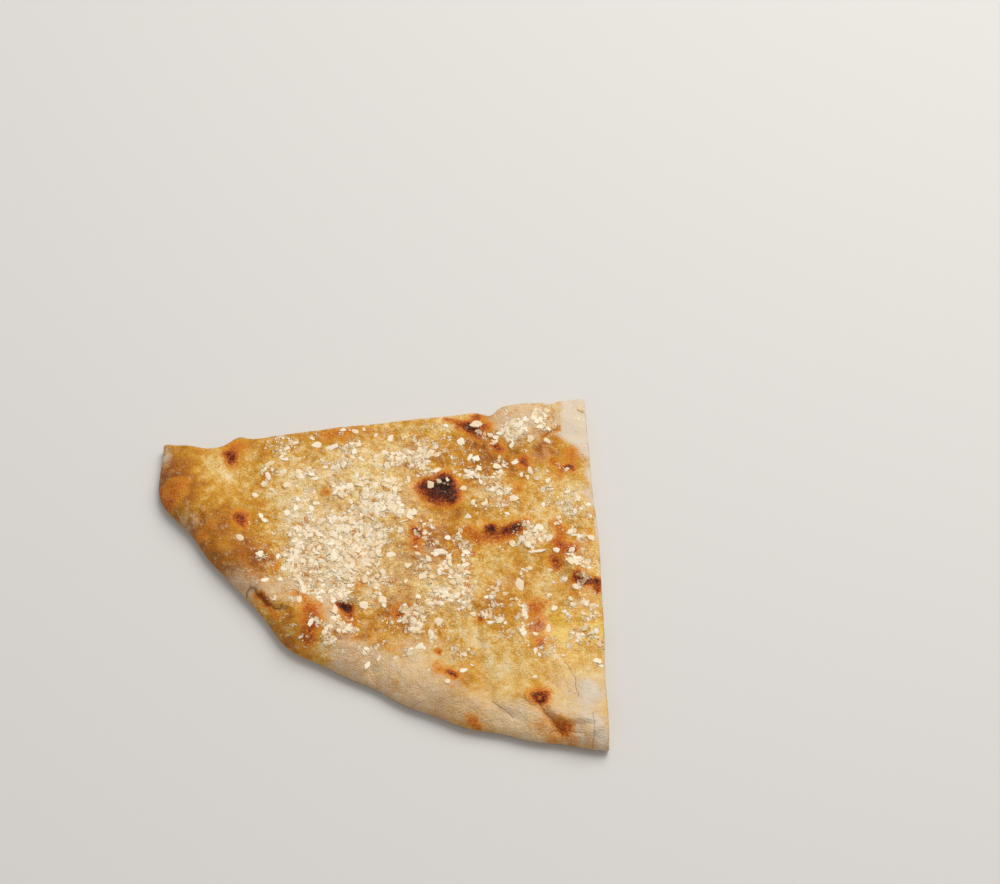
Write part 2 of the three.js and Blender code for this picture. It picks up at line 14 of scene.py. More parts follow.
import bmesh
import bpy
import numpy as np
from mathutils import Euler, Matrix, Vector


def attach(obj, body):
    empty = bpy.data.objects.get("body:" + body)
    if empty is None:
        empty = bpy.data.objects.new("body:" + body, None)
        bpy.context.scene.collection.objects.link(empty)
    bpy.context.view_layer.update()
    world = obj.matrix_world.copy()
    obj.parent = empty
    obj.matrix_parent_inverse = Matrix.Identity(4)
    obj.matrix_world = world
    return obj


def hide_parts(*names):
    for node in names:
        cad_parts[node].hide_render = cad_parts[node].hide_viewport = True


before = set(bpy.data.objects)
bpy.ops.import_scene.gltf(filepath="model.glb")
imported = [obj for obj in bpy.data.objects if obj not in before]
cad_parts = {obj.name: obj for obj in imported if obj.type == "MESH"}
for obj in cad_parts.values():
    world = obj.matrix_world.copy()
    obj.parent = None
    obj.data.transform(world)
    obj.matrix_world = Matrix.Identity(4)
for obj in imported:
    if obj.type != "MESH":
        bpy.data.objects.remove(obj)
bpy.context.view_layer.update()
MM = 0.001

# %% [markdown]
# ## The camera
#
# A food photo like this is taken with a long lens from steeply above. The lens and the height of
# the camera are real values. To place it, the script follows the ray through the pixel where the
# slice's corner should appear, and puts the camera on that ray, one metre away.

# %% Place the camera
CORNER = Vector((73.0, 67.44, 8.0))  # where the straight cuts meet, at the height of the skin
IMAGE_SIZE = (1000, 884)
CORNER_PIXEL = (585, 400)
CAMERA_ELEVATION = math.radians(58)
CAMERA_DISTANCE = 1000.0
SENSOR_WIDTH = 36.0
LENS = 100.8

look = Vector((0, math.cos(CAMERA_ELEVATION), -math.sin(CAMERA_ELEVATION)))
camera_up = Vector((0, math.sin(CAMERA_ELEVATION), math.cos(CAMERA_ELEVATION)))
pixels_per_unit = IMAGE_SIZE[0] * LENS / SENSOR_WIDTH
corner_ray = (
    look
    + Vector((1, 0, 0)) * (CORNER_PIXEL[0] - IMAGE_SIZE[0] / 2) / pixels_per_unit
    + camera_up * (IMAGE_SIZE[1] / 2 - CORNER_PIXEL[1]) / pixels_per_unit
)
camera_place = CORNER - corner_ray * (CAMERA_DISTANCE * look.z / corner_ray.z)

camera_data = bpy.data.cameras.new("camera")
camera_data.lens = LENS
camera_data.sensor_width = SENSOR_WIDTH
camera = bpy.data.objects.new("camera", camera_data)
camera.location = camera_place * MM
camera.rotation_euler = look.to_track_quat("-Z", "Y").to_euler()
bpy.context.scene.collection.objects.link(camera)
bpy.context.scene.camera = camera
print("camera at, mm:", [round(value) for value in camera_place])

# %% [markdown]
# ## Floor and light
#
# Bread is matt and pale, so one large soft lamp behind and to the right gives its blisters their
# shape, and a weak wide lamp in front keeps the shadows open. A plain world light fills the rest.


# %% Lay the floor and hang the lamps
def add_lamp(name, place, size, watts, tint):
    data = bpy.data.lights.new(name, "AREA")
    data.shape = "DISK"
    data.size = size
    data.energy = watts
    data.color = tint
    lamp = bpy.data.objects.new(name, data)
    lamp.location = place
    lamp.rotation_euler = (-Vector(place)).to_track_quat("-Z", "Y").to_euler()
    bpy.context.scene.collection.objects.link(lamp)


LAMP_TINT = (1.0, 0.97, 0.93)
LAMPS = [  # name, place, size, watts
    ("key_lamp", (0.40, 0.62, 1.05), 1.1, 15.6),
    ("fill_lamp", (-0.5, -0.8, 1.1), 1.2, 1.5),
]
for lamp_name, place, size, watts in LAMPS:
    add_lamp(lamp_name, place, size, watts, LAMP_TINT)

WORLD_TINT = (1.0, 0.99, 0.97, 1)
WORLD_STRENGTH = 0.45
world = bpy.data.worlds.new("soft_world")
world.use_nodes = True
background = world.node_tree.nodes["Background"]
background.inputs["Color"].default_value = WORLD_TINT
background.inputs["Strength"].default_value = WORLD_STRENGTH
bpy.context.scene.world = world
bpy.context.scene.view_settings.view_transform = "Standard"

FLOOR_SIDE = 6.0
FLOOR_COLOUR = (0.60, 0.59, 0.575, 1)
FLOOR_ROUGHNESS = 0.9
bpy.ops.mesh.primitive_plane_add(size=FLOOR_SIDE, location=(0, 0, 0))
floor = bpy.context.object
floor.name = "floor"
floor_material = bpy.data.materials.new("pale_floor")
floor_material.use_nodes = True
floor_shader = floor_material.node_tree.nodes["Principled BSDF"]
floor_shader.inputs["Base Color"].default_value = FLOOR_COLOUR
floor_shader.inputs["Roughness"].default_value = FLOOR_ROUGHNESS
floor.data.materials.append(floor_material)
print("lamps:", [lamp_name for lamp_name, *_ in LAMPS], "and a floor of", FLOOR_SIDE, "m")

# %% [markdown]
# ## The outline of the slice
#
# Two straight cuts meet at a corner, and the round crust joins their ends. A smooth curve through
# a few radii, taken at equal steps of angle, describes the crust better than a plain arc, because
# hand-stretched dough is never quite round.

# %% Name the outline's numbers
LEFT_CUT_ANGLE = 187.3
RIGHT_CUT_ANGLE = 272.3
SWEEP = math.radians(RIGHT_CUT_ANGLE - LEFT_CUT_ANGLE)
RIM_RADII = np.array(
    [151.9, 156.0, 149.2, 144.8, 142.2, 142.4, 138.9, 135.6, 134.9, 135.4, 134.0, 135.3, 136.8]
)
RIM_RIPPLE = 0.35
CUT_WAVE = 0.35
CUT_PUSH_DEPTH = 9
LEFT_CUT_NOTCHES = [  # from the corner, width, depth
    (12.5, 1.8, 1.2), (35, 3.2, 3.0), (48, 9, 0.8), (125, 3.2, -2.1), (136, 7, 2.6), (152, 3.5, -2.4),
]
RIGHT_CUT_NOTCHES = [(78, 45, -1.6)]
TIP_ROUNDING, TIP_ROUNDING_REACH = 0.8, 1.5
TIP_DRAWN_OUT, TIP_DRAWN_WIDTH = 2.4, 75
STRAIGHT_NEAR_TIP = 12  # this near to the tip the cuts don't wander
notches = LEFT_CUT_NOTCHES + RIGHT_CUT_NOTCHES
print(len(RIM_RADII), "radii of the crust and", len(notches), "notches and swellings of the cuts")


# %% Describe the outline
def bell(distance, width):
    return np.exp(-((distance / width) ** 2))


def dome(distance, radius):
    return (1 - np.minimum(distance / radius, 1) ** 2) ** 2


def rim_radius(share):
    last = len(RIM_RADII) - 1
    position = np.clip(share, 0, 1) * last
    i = np.minimum(position.astype(int), last - 1)
    t = position - i
    before, start = RIM_RADII[np.maximum(i - 1, 0)], RIM_RADII[i]
    end, after = RIM_RADII[i + 1], RIM_RADII[np.minimum(i + 2, last)]
    smooth = 0.5 * (
        2 * start
        + (end - before) * t
        + (2 * before - 5 * start + 4 * end - after) * t**2
        + (3 * start - before - 3 * end + after) * t**3
    )
    # Two waves out of step, so that the ripple never repeats.
    return smooth + RIM_RIPPLE * (np.sin(31 * share + 0.6) + 0.6 * np.sin(57 * share + 2.1))


def notch_depth(notches, distance):
    return sum(depth * bell(distance - start, width) for start, width, depth in notches)


def wander(share, distance):
    """Where a point of the slice lies once the cuts wander, in mm from the corner."""
    left, right = math.radians(LEFT_CUT_ANGLE), math.radians(RIGHT_CUT_ANGLE)
    angle = left + SWEEP * share
    from_left = distance * np.sin(SWEEP * share)
    from_right = distance * np.sin(SWEEP * (1 - share))
    away_from_tip = 1 - bell(distance, STRAIGHT_NEAR_TIP)
    in_from_left = CUT_WAVE * np.sin(distance / 6.5 + 1) * np.sin(distance / 17)
    in_from_left += notch_depth(LEFT_CUT_NOTCHES, distance)
    in_from_right = CUT_WAVE * np.sin(distance / 7.5) * np.sin(distance / 21 + 2)
    in_from_right += notch_depth(RIGHT_CUT_NOTCHES, distance)
    left_push = in_from_left * away_from_tip * np.exp(-from_left / CUT_PUSH_DEPTH)
    right_push = in_from_right * away_from_tip * np.exp(-from_right / CUT_PUSH_DEPTH)
    tip_push = TIP_ROUNDING * np.exp(-distance / TIP_ROUNDING_REACH)
    x = distance * np.cos(angle) - left_push * math.sin(left) + right_push * math.sin(right)
    y = distance * np.sin(angle) + left_push * math.cos(left) - right_push * math.cos(right)
    x += tip_push * math.cos(left + SWEEP / 2)
    y += tip_push * math.sin(left + SWEEP / 2) + TIP_DRAWN_OUT * bell(distance, TIP_DRAWN_WIDTH)
    return x, y


def place_in_slice(x, y):
    """Share of the way round, and the distances from the corner, the crust and the nearer cut."""
    from_corner = np.hypot(x, y)
    share = (np.degrees(np.arctan2(y, x)) % 360 - LEFT_CUT_ANGLE) / math.degrees(SWEEP)
    from_left = from_corner * np.sin(SWEEP * share)
    from_right = from_corner * np.sin(SWEEP * (1 - share))
    return share, from_corner, rim_radius(share) - from_corner, np.minimum(from_left, from_right)


print("crust, mm from the corner:", RIM_RADII.min(), "to", RIM_RADII.max())

# %% [markdown]
# ## The form of the dough
#
# Dough rises in soft domes where gas gathered, sinks in between, cracks into ridges and creases,
# and swells towards the rim. Sculpting that by hand would work, but the marks of the real slice
# are few enough to name one by one: each is a place, a size and a height, and a smooth bump adds it.

# %% Name the swellings, hollows, ridges and creases
THICKNESS = 6.4
RIM_SWELL, RIM_SWELL_FROM_EDGE, RIM_SWELL_WIDTH = 1.7, 10, 9
RIM_MIDDLE_HEIGHT = 2.8
RIM_ROUND_TOP, RIM_ROUND_BOTTOM = 8, 4
CUT_EDGE_DROP, CUT_EDGE_WIDTH = 0.9, 1.6

DOMES = [  # x, y, radius, height
    (-134, -42, 17, 2), (-123, -66, 14, 1.7), (-94, -89, 14, 2.1), (-82, -100, 12, 1.1),
    (-1.5, -115, 8, 1.9), (-48, -117, 14, 0.9), (-20, -98, 16, 1.3), (-51.5, -36.5, 10, 1.7),
    (-20, -12, 12, 1.5), (-109, -30, 12, 0.7), (-73, -42, 14, 0.6), (-23.5, -41, 12, 0.9),
    (-90, -66, 15, 0.8), (-60, -82, 12, 0.6), (-143, -30, 10, 0.8), (-133.5, -61, 5, 0.9),
    (-10, -88, 5, 0.9), (0.5, -92, 4, 0.9), (-1.5, -78, 5, 0.8), (-148, -44, 6, 0.8),
    (-68, -98, 9, 0.7), (-4.5, -44, 6, 0.8),
]
DENTS = [  # x, y, radius, depth
    (-35.7, -115, 8, 1.2), (-50, -50, 10, 1.1), (-15.7, -23.3, 6, 0.9), (-60.4, -56, 5, 0.7),
    (-83.4, -84, 4, 1.4), (-5, -101, 10, 0.6), (-128, -25, 7, 0.7),
]
RIDGES = [  # path, width, height
    ([(-12, -51), (-12, -60), (-6.5, -68), (3, -74)], 4.5, 1.3),
    ([(-43, -56), (-34, -52), (-23, -51)], 4.5, 1.2),
    ([(-88, -13.5), (-74, -10.5), (-47, -8.5), (-34, -12)], 5, 0.9),
    ([(-10, -133), (-4, -134.5), (3, -131)], 4, 0.8),
    ([(-132, -72), (-118, -85), (-104, -96)], 6, 0.7),
]
CREASES = [  # path, width, depth
    ([(-38.8, -86), (-38.2, -100), (-36.4, -113), (-33.5, -121)], 4, 1.1),
    ([(-17.2, -122), (-13, -128), (-9.5, -133)], 3, 1.3),
    ([(-31, -124), (-23, -127.5)], 3, 0.7),
    ([(-75, -105), (-72, -115)], 3, 0.7),
    ([(-83.4, -84), (-82, -91), (-81, -97)], 4, 1),
    ([(-136.5, -48), (-133, -57)], 3.5, 0.7),
    ([(-127, -60.5), (-117, -59)], 3.5, 0.8),
]
LIPS = [  # path, reach, height
    ([(-119, -78.5), (-116.5, -76.7), (-112, -81), (-109, -84), (-106, -85)], 7, 1.3),
    ([(-21, -121), (-15, -125), (-9, -129), (-2, -129)], 6, 1.1),
]
CHEESE_ZONES = [  # x, y, radius, amount
    (-80, -57, 22, 1), (-87, -33, 17, 0.75), (-83, -74, 13, 0.8), (-100, -66, 11, 0.8),
    (-52, -78, 14, 1), (-62, -70, 9, 0.7), (-34, -38, 8, 0.9), (-18, -54, 6, 1), (-4, -66, 7, 1),
    (-20, -11, 10, 0.7), (-66, -22, 15, 0.6), (-66, -43, 9, 0.8), (-105, -32, 9, 0.5),
    (-3, -46, 5, 0.7), (-86, -90, 6, 0.5),
]
THIN_SPRINKLING = 0.08
BARE_CRUST_X = -122
CHEESE_LAYER = 0.6
print(len(DOMES), "domes,", len(DENTS), "hollows,", len(RIDGES) + len(CREASES), "ridges and creases")


# %% Measure how far a place is from a line
def smoothstep(x, low, high):
    t = np.clip((x - low) / (high - low), 0, 1)
    return t * t * (3 - 2 * t)


def nearest_on_path(x, y, path):
    """Distance from a line of straight stretches, and the side that each point lies on."""
    distance, side = np.full(np.shape(x), np.inf), np.ones(np.shape(x))
    for (ax, ay), (bx, by) in zip(path, path[1:]):
        along_x, along_y = bx - ax, by - ay
        share = ((x - ax) * along_x + (y - ay) * along_y) / (along_x**2 + along_y**2)
        share = np.clip(share, 0, 1)
        here = np.hypot(x - ax - along_x * share, y - ay - along_y * share)
        sign = np.sign(along_x * (y - ay) - along_y * (x - ax))
        side = np.where(here < distance, sign, side)
        distance = np.minimum(here, distance)
    return distance, side


to_first_ridge, _ = nearest_on_path(0, 0, RIDGES[0][0])
print("from the corner to the first ridge, mm:", round(float(to_first_ridge), 1))


# %% Scatter small blisters by chance
def make_random(seed):
    """A small generator that gives the same numbers between 0 and 1 on every computer."""
    state = seed
    while True:
        state = state * 48271 % 2147483647
        yield state / 2147483647


def draw(random, least=0.0, most=1.0):
    return least + (most - least) * next(random)


def random_place(random):
    """A place in the box round the slice, in mm from the corner."""
    return draw(random, -155, 5), draw(random, 0, -137)


BLISTER_SEED, BLISTER_COUNT = 20, 70
BLISTER_RADII, BLISTER_HEIGHTS = (4, 9), (0.25, 0.75)
BLISTER_FROM_RIM = 3


def scatter_blisters():
    random, blisters = make_random(BLISTER_SEED), []
    while len(blisters) < BLISTER_COUNT:
        x, y = random_place(random)
        radius, height = draw(random, *BLISTER_RADII), draw(random, *BLISTER_HEIGHTS)
        share, _, from_rim, _ = place_in_slice(x, y)
        if 0 < share < 1 and from_rim > BLISTER_FROM_RIM:
            blisters.append((x, y, radius, height))
    return blisters


BLISTERS = scatter_blisters()
print(len(BLISTERS), "small blisters")


# %% Add it all up into the height of the skin
def cheese_amount(x, y):
    amount = THIN_SPRINKLING
    for zone_x, zone_y, radius, most in CHEESE_ZONES:
        amount = amount + most * bell(np.hypot(x - zone_x, y - zone_y), radius)
    return np.minimum(amount, 1) * smoothstep(x, BARE_CRUST_X, BARE_CRUST_X + 12)


def dough_height(x, y, from_rim):
    height = THICKNESS + RIM_SWELL * bell(from_rim - RIM_SWELL_FROM_EDGE, RIM_SWELL_WIDTH)
    # Long, low waves: dough that was stretched by hand is never level.
    height = height + 0.4 * np.sin(x / 11 + 1.3) * np.sin(y / 13 - 0.7)
    height = height + 0.2 * np.sin(x / 6.1 + y / 7.7)
    for mark_x, mark_y, radius, rise in DOMES + BLISTERS:
        height = height + rise * dome(np.hypot(x - mark_x, y - mark_y), radius)
    for mark_x, mark_y, radius, depth in DENTS:
        height = height - depth * dome(np.hypot(x - mark_x, y - mark_y), radius)
    for path, width, rise in RIDGES:
        height = height + rise * bell(nearest_on_path(x, y, path)[0], width / 2)
    for path, width, depth in CREASES:
        height = height - depth * bell(nearest_on_path(x, y, path)[0], width / 2)
    for path, reach, rise in LIPS:
        distance, side = nearest_on_path(x, y, path)
        height = height + rise * dome(distance, reach) * (side > 0)
    return height + CHEESE_LAYER * cheese_amount(x, y)


def rim_rounding(from_rim, width):
    inward = np.clip(from_rim / width, 0, 1)
    return np.sqrt(1 - (1 - inward) ** 2)


def top_height(x, y, from_rim, from_cut):
    pressed = dough_height(x, y, from_rim)
    pressed = pressed - CUT_EDGE_DROP * np.exp(-np.maximum(from_cut, 0) / CUT_EDGE_WIDTH)
    return RIM_MIDDLE_HEIGHT + (pressed - RIM_MIDDLE_HEIGHT) * rim_rounding(from_rim, RIM_ROUND_TOP)


def skin_height(x, y):
    _, _, from_rim, from_cut = place_in_slice(x, y)
    return top_height(x, y, from_rim, from_cut)


SCORCHED_DOME = (-51.5, -36.5)
print("skin at the big scorched dome, mm:", round(float(skin_height(*SCORCHED_DOME)), 2))

# %% [markdown]
# ## Where the oven coloured it
#
# Colour on bread follows its form: domes scorch, hollows stay pale and hold oil, the rim keeps
# its bench flour. Painting an image would do, but each mark as a soft number on the mesh is
# sharper up close, moves with the form, and lets the material add its own grain at the edges.
#
# A scorch of 0.4 is orange, 0.7 red-brown, and above 1 it is char.

# %% Name the scorched spots
SCORCH_SPOTS = [  # x, y, radius, strength
    (-51.5, -36.4, 9.4, 0.7), (-50.4, -33.6, 5.5, 0.75), (-48, -38.2, 6, 0.8), (-55, -37.6, 6.6, 0.7),
    (-58.6, -35.8, 4.4, 0.55), (-47.6, -42, 4.4, 0.4), (-53.5, -41.6, 4.2, 0.35), (-57.5, -33, 3, 0.3),
    (-42, -10.6, 4.6, 0.75), (-39, -12.8, 4.2, 0.85), (-38.8, -6.2, 3.4, 0.75),
    (-35.5, -10.5, 4.4, 0.55), (-37.5, -15.5, 3.5, 0.35), (-31.3, -19.3, 4.4, 0.85),
    (-32.5, -17.5, 2, 0.3), (-22, -24.6, 4.2, 0.7), (-21.3, -27.4, 3, 0.4), (-6, -27.6, 3.4, 0.95),
    (-9.3, -28.6, 2.2, 0.35), (-8, -31, 3.2, 0.25), (-4.8, -22, 5.6, 0.42), (-12, -24.3, 3, 0.5),
    (-10, -25.6, 2.4, 0.3), (-13.5, -20, 3, 0.2), (-25, -55, 4, 0.25), (-26, -24, 3, 0.25),
    (-24, -36.5, 4.5, 0.4), (-29, -43, 3.4, 0.4), (-30.5, -40, 2.6, 0.35), (-13, -31, 5, 0.22),
    (-33.8, -53, 3.4, 1.15), (-29, -54.4, 3, 0.3), (-24.6, -52, 3.2, 0.14), (-36.5, -49, 3.6, 0.3),
    (-60, -54.6, 3.6, 0.85), (-60.2, -58, 3.4, 0.5), (-60.6, -61.8, 4, 0.5), (-41, -62.6, 2.6, 0.6),
    (-12, -58.5, 3, 0.1), (-12.2, -65.4, 3.4, 0.7), (-11, -68.2, 3.2, 0.62), (-6, -62, 5, 0.3),
    (-3.5, -57.5, 3.4, 0.15), (-2.5, -72.5, 6, 0.34), (2.6, -75.4, 4, 0.25), (-10.5, -76, 5, 0.22),
    (-19.3, -84.5, 6, 0.5), (-14.5, -82, 5, 0.25), (-18, -92.5, 6.5, 0.6), (-17.2, -99, 4, 0.35),
    (-37, -88, 3.2, 0.75), (-36.8, -90.5, 2.2, 0.3), (-52, -101, 1.8, 0.6), (-50, -97.6, 2.4, 0.36),
    (-47, -110.4, 2.9, 0.8), (-47.4, -110.8, 5, 0.26), (-51.8, -108.4, 4.4, 0.34),
    (-17.3, -119.2, 7.4, 0.5), (-40.5, -126.8, 3.6, 0.5), (-38.2, -128.8, 2.8, 0.35),
    (-64.5, -85.6, 5, 0.65), (-60.5, -86.4, 3.4, 0.35), (-65.5, -88.5, 3, 0.25),
    (-42, -76.2, 3.2, 0.42), (-41.5, -73, 2.5, 0.25), (-84, -84, 3.4, 1.8), (-83, -88, 4.6, 0.6),
    (-82, -92.5, 4, 0.45), (-86.5, -83.2, 2.6, 0.4), (-80.5, -97, 4, 0.15), (-99.5, -80.5, 5, 0.38),
    (-93.6, -93.6, 3.4, 0.2), (-126.8, -22.6, 4.2, 0.95), (-125, -26.6, 4.4, 0.3),
    (-122.8, -18.6, 5, 0.42), (-126.5, -17.5, 3, 0.3), (-121.5, -49.8, 4.4, 0.62),
    (-92.6, -37.6, 2.8, 0.48), (-147, -35.5, 5, 0.28), (-143.8, -37, 5.5, 0.3), (-140.6, -35, 3, 0.25),
    (-145.4, -41.4, 5, 0.38), (-149.4, -42.6, 4.5, 0.42), (-150.6, -38, 3, 0.2),
    (-132.5, -53, 4.4, 0.32), (-135.6, -55.4, 3.6, 0.35), (-114.4, -42.4, 3.4, 0.3),
    (-108.6, -69, 3.6, 0.38), (-128, -60, 5, 0.15), (-78.5, -12.2, 5, 0.3), (-71, -13.5, 5, 0.24),
    (-62, -13, 5, 0.18), (-86, -17, 4, 0.25), (-85.1, -49.8, 0.8, 1), (-138, -24.6, 0.7, 0.8),
    (-130.4, -26.8, 0.7, 0.8), (-8, -131, 4.6, 0.5), (-11.5, -129.5, 4.6, 0.35),
    (-12.4, -135.6, 3.4, 0.3), (-5.4, -134.6, 3, 0.26), (-16.6, -128.4, 4, 0.2),
    (-72.5, -72.6, 2.4, 0.36), (-77.4, -74.4, 3, 0.34), (-66.8, -101.5, 4, 0.22),
    (-73.4, -97.6, 4, 0.2), (-66.3, -114, 3, 0.22), (-4, -44.6, 3, 0.3), (2.4, -46, 3.4, 0.3),
    (0.6, -56, 4, 0.25), (-79.4, -76, 3, 0.3), (-70, -52, 3, 0.2),
]
print(len(SCORCH_SPOTS), "scorched spots")

# %% Name the scorched streaks and the ring
SCORCH_STREAKS = [  # path, width, strength
    ([(-50, -7.5), (-46, -8.8), (-42, -10)], 2.6, 0.55),
    ([(-42.5, -53.5), (-39, -56.4), (-34, -56.6), (-29.5, -55.2), (-25.5, -52.6)], 4.6, 0.5),
    ([(-25.5, -52.6), (-21.5, -50.5)], 3.4, 0.45),
    ([(-11, -51), (-9.6, -55), (-11, -59)], 4.4, 0.5),
    ([(-9.4, -61.4), (-7.4, -63), (-5.2, -61.4)], 4, 0.5),
    ([(-4.6, -73.2), (-1.4, -74.6), (1.2, -74)], 2.5, 0.62),
    ([(3, -74.2), (3.2, -78.2)], 2, 0.65),
    ([(-17, -99), (-16.4, -106)], 2.2, 0.22),
    ([(-96, -87), (-95.4, -92), (-96.4, -97)], 6.6, 0.6),
    ([(-115.2, -79), (-112.4, -82.4), (-109.6, -85.4), (-107.4, -88)], 2.6, 0.4),
    ([(-114.2, -79.6), (-112, -81.4), (-110.2, -83.4)], 1.4, 0.4),
    ([(-122, -47), (-121.4, -51.5)], 4.2, 0.3),
    ([(-150.4, -36), (-150.8, -42), (-148.6, -47)], 1.4, 0.3),
    ([(-93, -15), (-88.5, -13.2), (-84, -12)], 4, 0.4),
    ([(-15.6, -124.6), (-12.6, -128), (-10, -131)], 2.2, 0.14),
    ([(-23, -127.4), (-18, -130.4), (-13, -133.4)], 2.2, 0.14),
    ([(-15.4, -15.4), (-12.6, -12.8), (-10, -11.2), (-9.6, -9.6)], 1.5, 0.42),
]
SCORCH_RINGS = [(-17.3, -119.4, 1.5, 1.6, 0.6)]  # x, y, ring radius, ring width, strength
print(len(SCORCH_STREAKS), "scorched streaks and", len(SCORCH_RINGS), "ring")

# %% Name where the skin is browner or paler
GOLDEN = 0.24  # how brown the skin is where nothing below adds to it
GOLDEN_ZONES = [  # x, y, radius, amount
    (-140, -35, 20, 0.23), (-146, -26, 8, 0.24), (-128, -48, 18, 0.16), (-119, -64, 12, 0.34),
    (-126, -58, 10, 0.14), (-96, -90, 11, 0.1), (-105, -88, 7, 0.2), (-10, -78, 18, 0.04),
    (-26, -74, 14, 0.04), (-24, -42, 14, 0.12), (-70, -13, 13, 0.16), (-72, -94, 10, 0.22),
    (-28, -104, 16, -0.1), (-50, -50, 14, 0.3), (-112, -22, 12, 0.14), (-17, -90, 9, 0.06),
    (-12, -60, 8, 0.12), (-46, -112, 9, 0.18), (-15, -17, 7, 0.26), (-75, -86, 9, 0.1),
    (-100, -45, 8, -0.12), (-28, -120, 12, -0.05), (-40, -124, 7, 0.12), (-12, -131, 5, 0.08),
    (-60, -126, 7, 0.16), (-36, -114, 6, 0.06), (-1.5, -131, 6, 0.1), (-128, -18, 6, 0.22),
    (-66, -62, 9, 0.16), (-55, -64, 7, 0.25), (-66, -76, 7, 0.12), (-64, -88, 8, 0.22),
    (-62, -96, 7, 0.12), (-35, -26, 9, 0.3), (-25, -24, 7, 0.2), (-52, -26, 9, 0.22),
    (-42, -16, 7, 0.25), (-95, -17, 8, 0.2), (-85, -14, 6, 0.15), (-36, -5, 5, 0.3), (-36, -45, 8, 0.2),
    (-5, -95, 9, -0.15), (-14, -76, 8, -0.12), (-85, -45, 6, 0.12), (-13, -14, 5, 0.1),
    (-50, -24, 6, 0.15), (-5, -23, 6, 0.2), (-64, -45, 6, 0.25), (-25, -54, 6, 0.25),
    (-133, -54, 7, 0.15), (-46, -65, 6, 0.15), (-5, -62, 5, 0.15), (-85, -89, 6, 0.15),
    (-28, -86, 9, 0.25), (-84, -96, 5, 0.15), (-50, -96, 8, 0.12), (-25, -95, 7, 0.1),
    (-24, -117, 8, 0.12), (-15, -126, 6, -0.14), (-3, -124, 6, -0.1), (-105, -28, 9, -0.1),
    (-75, -25, 8, -0.1), (-105, -52, 8, -0.08), (-15, -22, 4, 0.12), (-85, -95, 6, 0.15),
    (-146, -38, 8, 0.15), (-36, -26, 6, 0.15), (-66, -25, 5, 0.15), (-5, -91, 7, 0.15),
    (-46, -25, 6, -0.1), (-68, -55, 6, -0.12), (-52, -86, 6, 0.2), (-4, -22, 6, 0.15),
    (-136, -27, 9, -0.12), (-128, -30, 7, -0.1), (-131, -40, 6, -0.14), (-116, -46, 6, 0.12),
    (-125, -55, 6, 0.08), (-116, -64, 6, 0.12), (-102, -78, 5, 0.12), (-64, -62, 6, 0.1),
    (-54, -56, 6, 0.12), (-106, -15, 6, 0.15), (-14, -7, 5, 0.15), (-24, -5, 5, 0.12),
    # The paler zones at (-8.4, -92) and (3, -93) are painted highlights: the sheen of oil on two bumps.
    (-88, -94, 5, 0.15), (-75, -86, 5, 0.15), (-94, -75, 6, -0.2), (-8.4, -92, 4, -0.3),
    (3, -93, 4, -0.3), (-5.6, -100, 4, 0.1), (-36, -46, 6, -0.14), (-88, -101, 4, -0.2),
    (-92, -80, 4, -0.2), (-138, -46, 6, -0.1), (-124, -56, 7, -0.14), (-114, -67, 4, 0.2),
    (-143, -26, 5, -0.12), (-101, -91, 7, 0.14), (-36, -15, 6, 0.2), (-65, -24, 6, 0.15),
    (-5, -65, 5, 0.25), (-84, -84, 6, 0.18), (-64, -85, 6, 0.2), (-105, -64, 6, 0.12),
    (-84, -15, 6, 0.12), (-15, -15, 5, 0.1), (-15, -35, 5, 0.1), (-85, -25, 5, -0.05),
    (-145, -25, 6, 0.12), (-96, -26, 7, 0.12), (-56, -35, 4, 0.15), (-36, -17, 6, 0.12),
    (-115, -75, 5, 0.2), (-46, -115, 6, 0.12), (-95, -83, 4, -0.1), (-75, -88, 5, -0.08),
    (-36, -85, 6, 0.2), (-55, -56, 5, 0.2), (-35, -25, 5, 0.15), (-145, -35, 7, 0.15),
    (-24, -9, 8, 0.1), (-4, -76, 5, 0.25), (-64, -26, 6, 0.15), (-36, -16, 6, 0.15),
    (-16, -104, 6, 0.12), (-6, -64, 5, 0.15), (-145, -36, 7, 0.15), (-134, -55, 6, 0.15),
    (-56, -66, 6, 0.12), (-36, -25, 5, -0.2),
]
print(len(GOLDEN_ZONES), "zones of browning")

# %% Name where flour and oil lie
FLOUR_ZONES = [
    (-19, -7, 9, 0.65), (-28, -8, 7, 0.65), (-80, -106, 8, 0.6), (-65, -113, 10, 0.6),
    (-75, -109, 8, 0.5), (-54, -118, 9, 0.5), (-44, -124, 8, 0.35), (-30, -127, 8, 0.4),
    (-24, -126, 6, 0.4), (-14, -126, 6, 0.45), (-4, -126, 6, 0.5), (-10, -113, 6, 0.35),
    (-118, -77, 5, 0.5), (-109, -78, 6, 0.5), (-5, -133, 6, 0.5), (-15, -132, 6, 0.4),
    (4, -131, 4, 0.5), (4.5, -137, 4, 0.5), (-24, -131, 6, 0.35), (-10, -138, 6, 0.3),
    (-91, -86, 3, 0.5), (-89, -92, 3, 0.35), (-150, -23, 3, 0.5), (-96, -74, 8, 0.9),
    (-89, -80, 7, 0.45), (-86, -93, 4, 0.3), (-37, -121, 5, 0.3), (-127, -62, 4, 0.1),
    (-142, -51, 6, 0.3), (-124, -73, 5, 0.5), (-50, -104, 9, 0.2), (-60, -99, 5, 0.4),
    (-84.5, -103, 4, 0.5), (-84.5, -108, 4, 0.4),
]
WHITE_ZONES = [
    (0, -116.5, 5.5, 1), (0, -122, 4, 0.2), (-0.5, -38, 2.5, 0.5), (-150.4, -19.5, 1.8, 0.45),
    (-150.6, -23, 1.6, 0.3), (-85, -104, 2.2, 0.1), (1, -30, 2.2, 0.3), (-15, -6, 3, 0.25),
    (-24, -13, 4, 0.2), (2, -128, 3, 0.4), (3.4, -134, 2.4, 0.35), (-5, -133, 2.6, 0.3),
    (-17.3, -119.8, 0.8, 0.45),
]
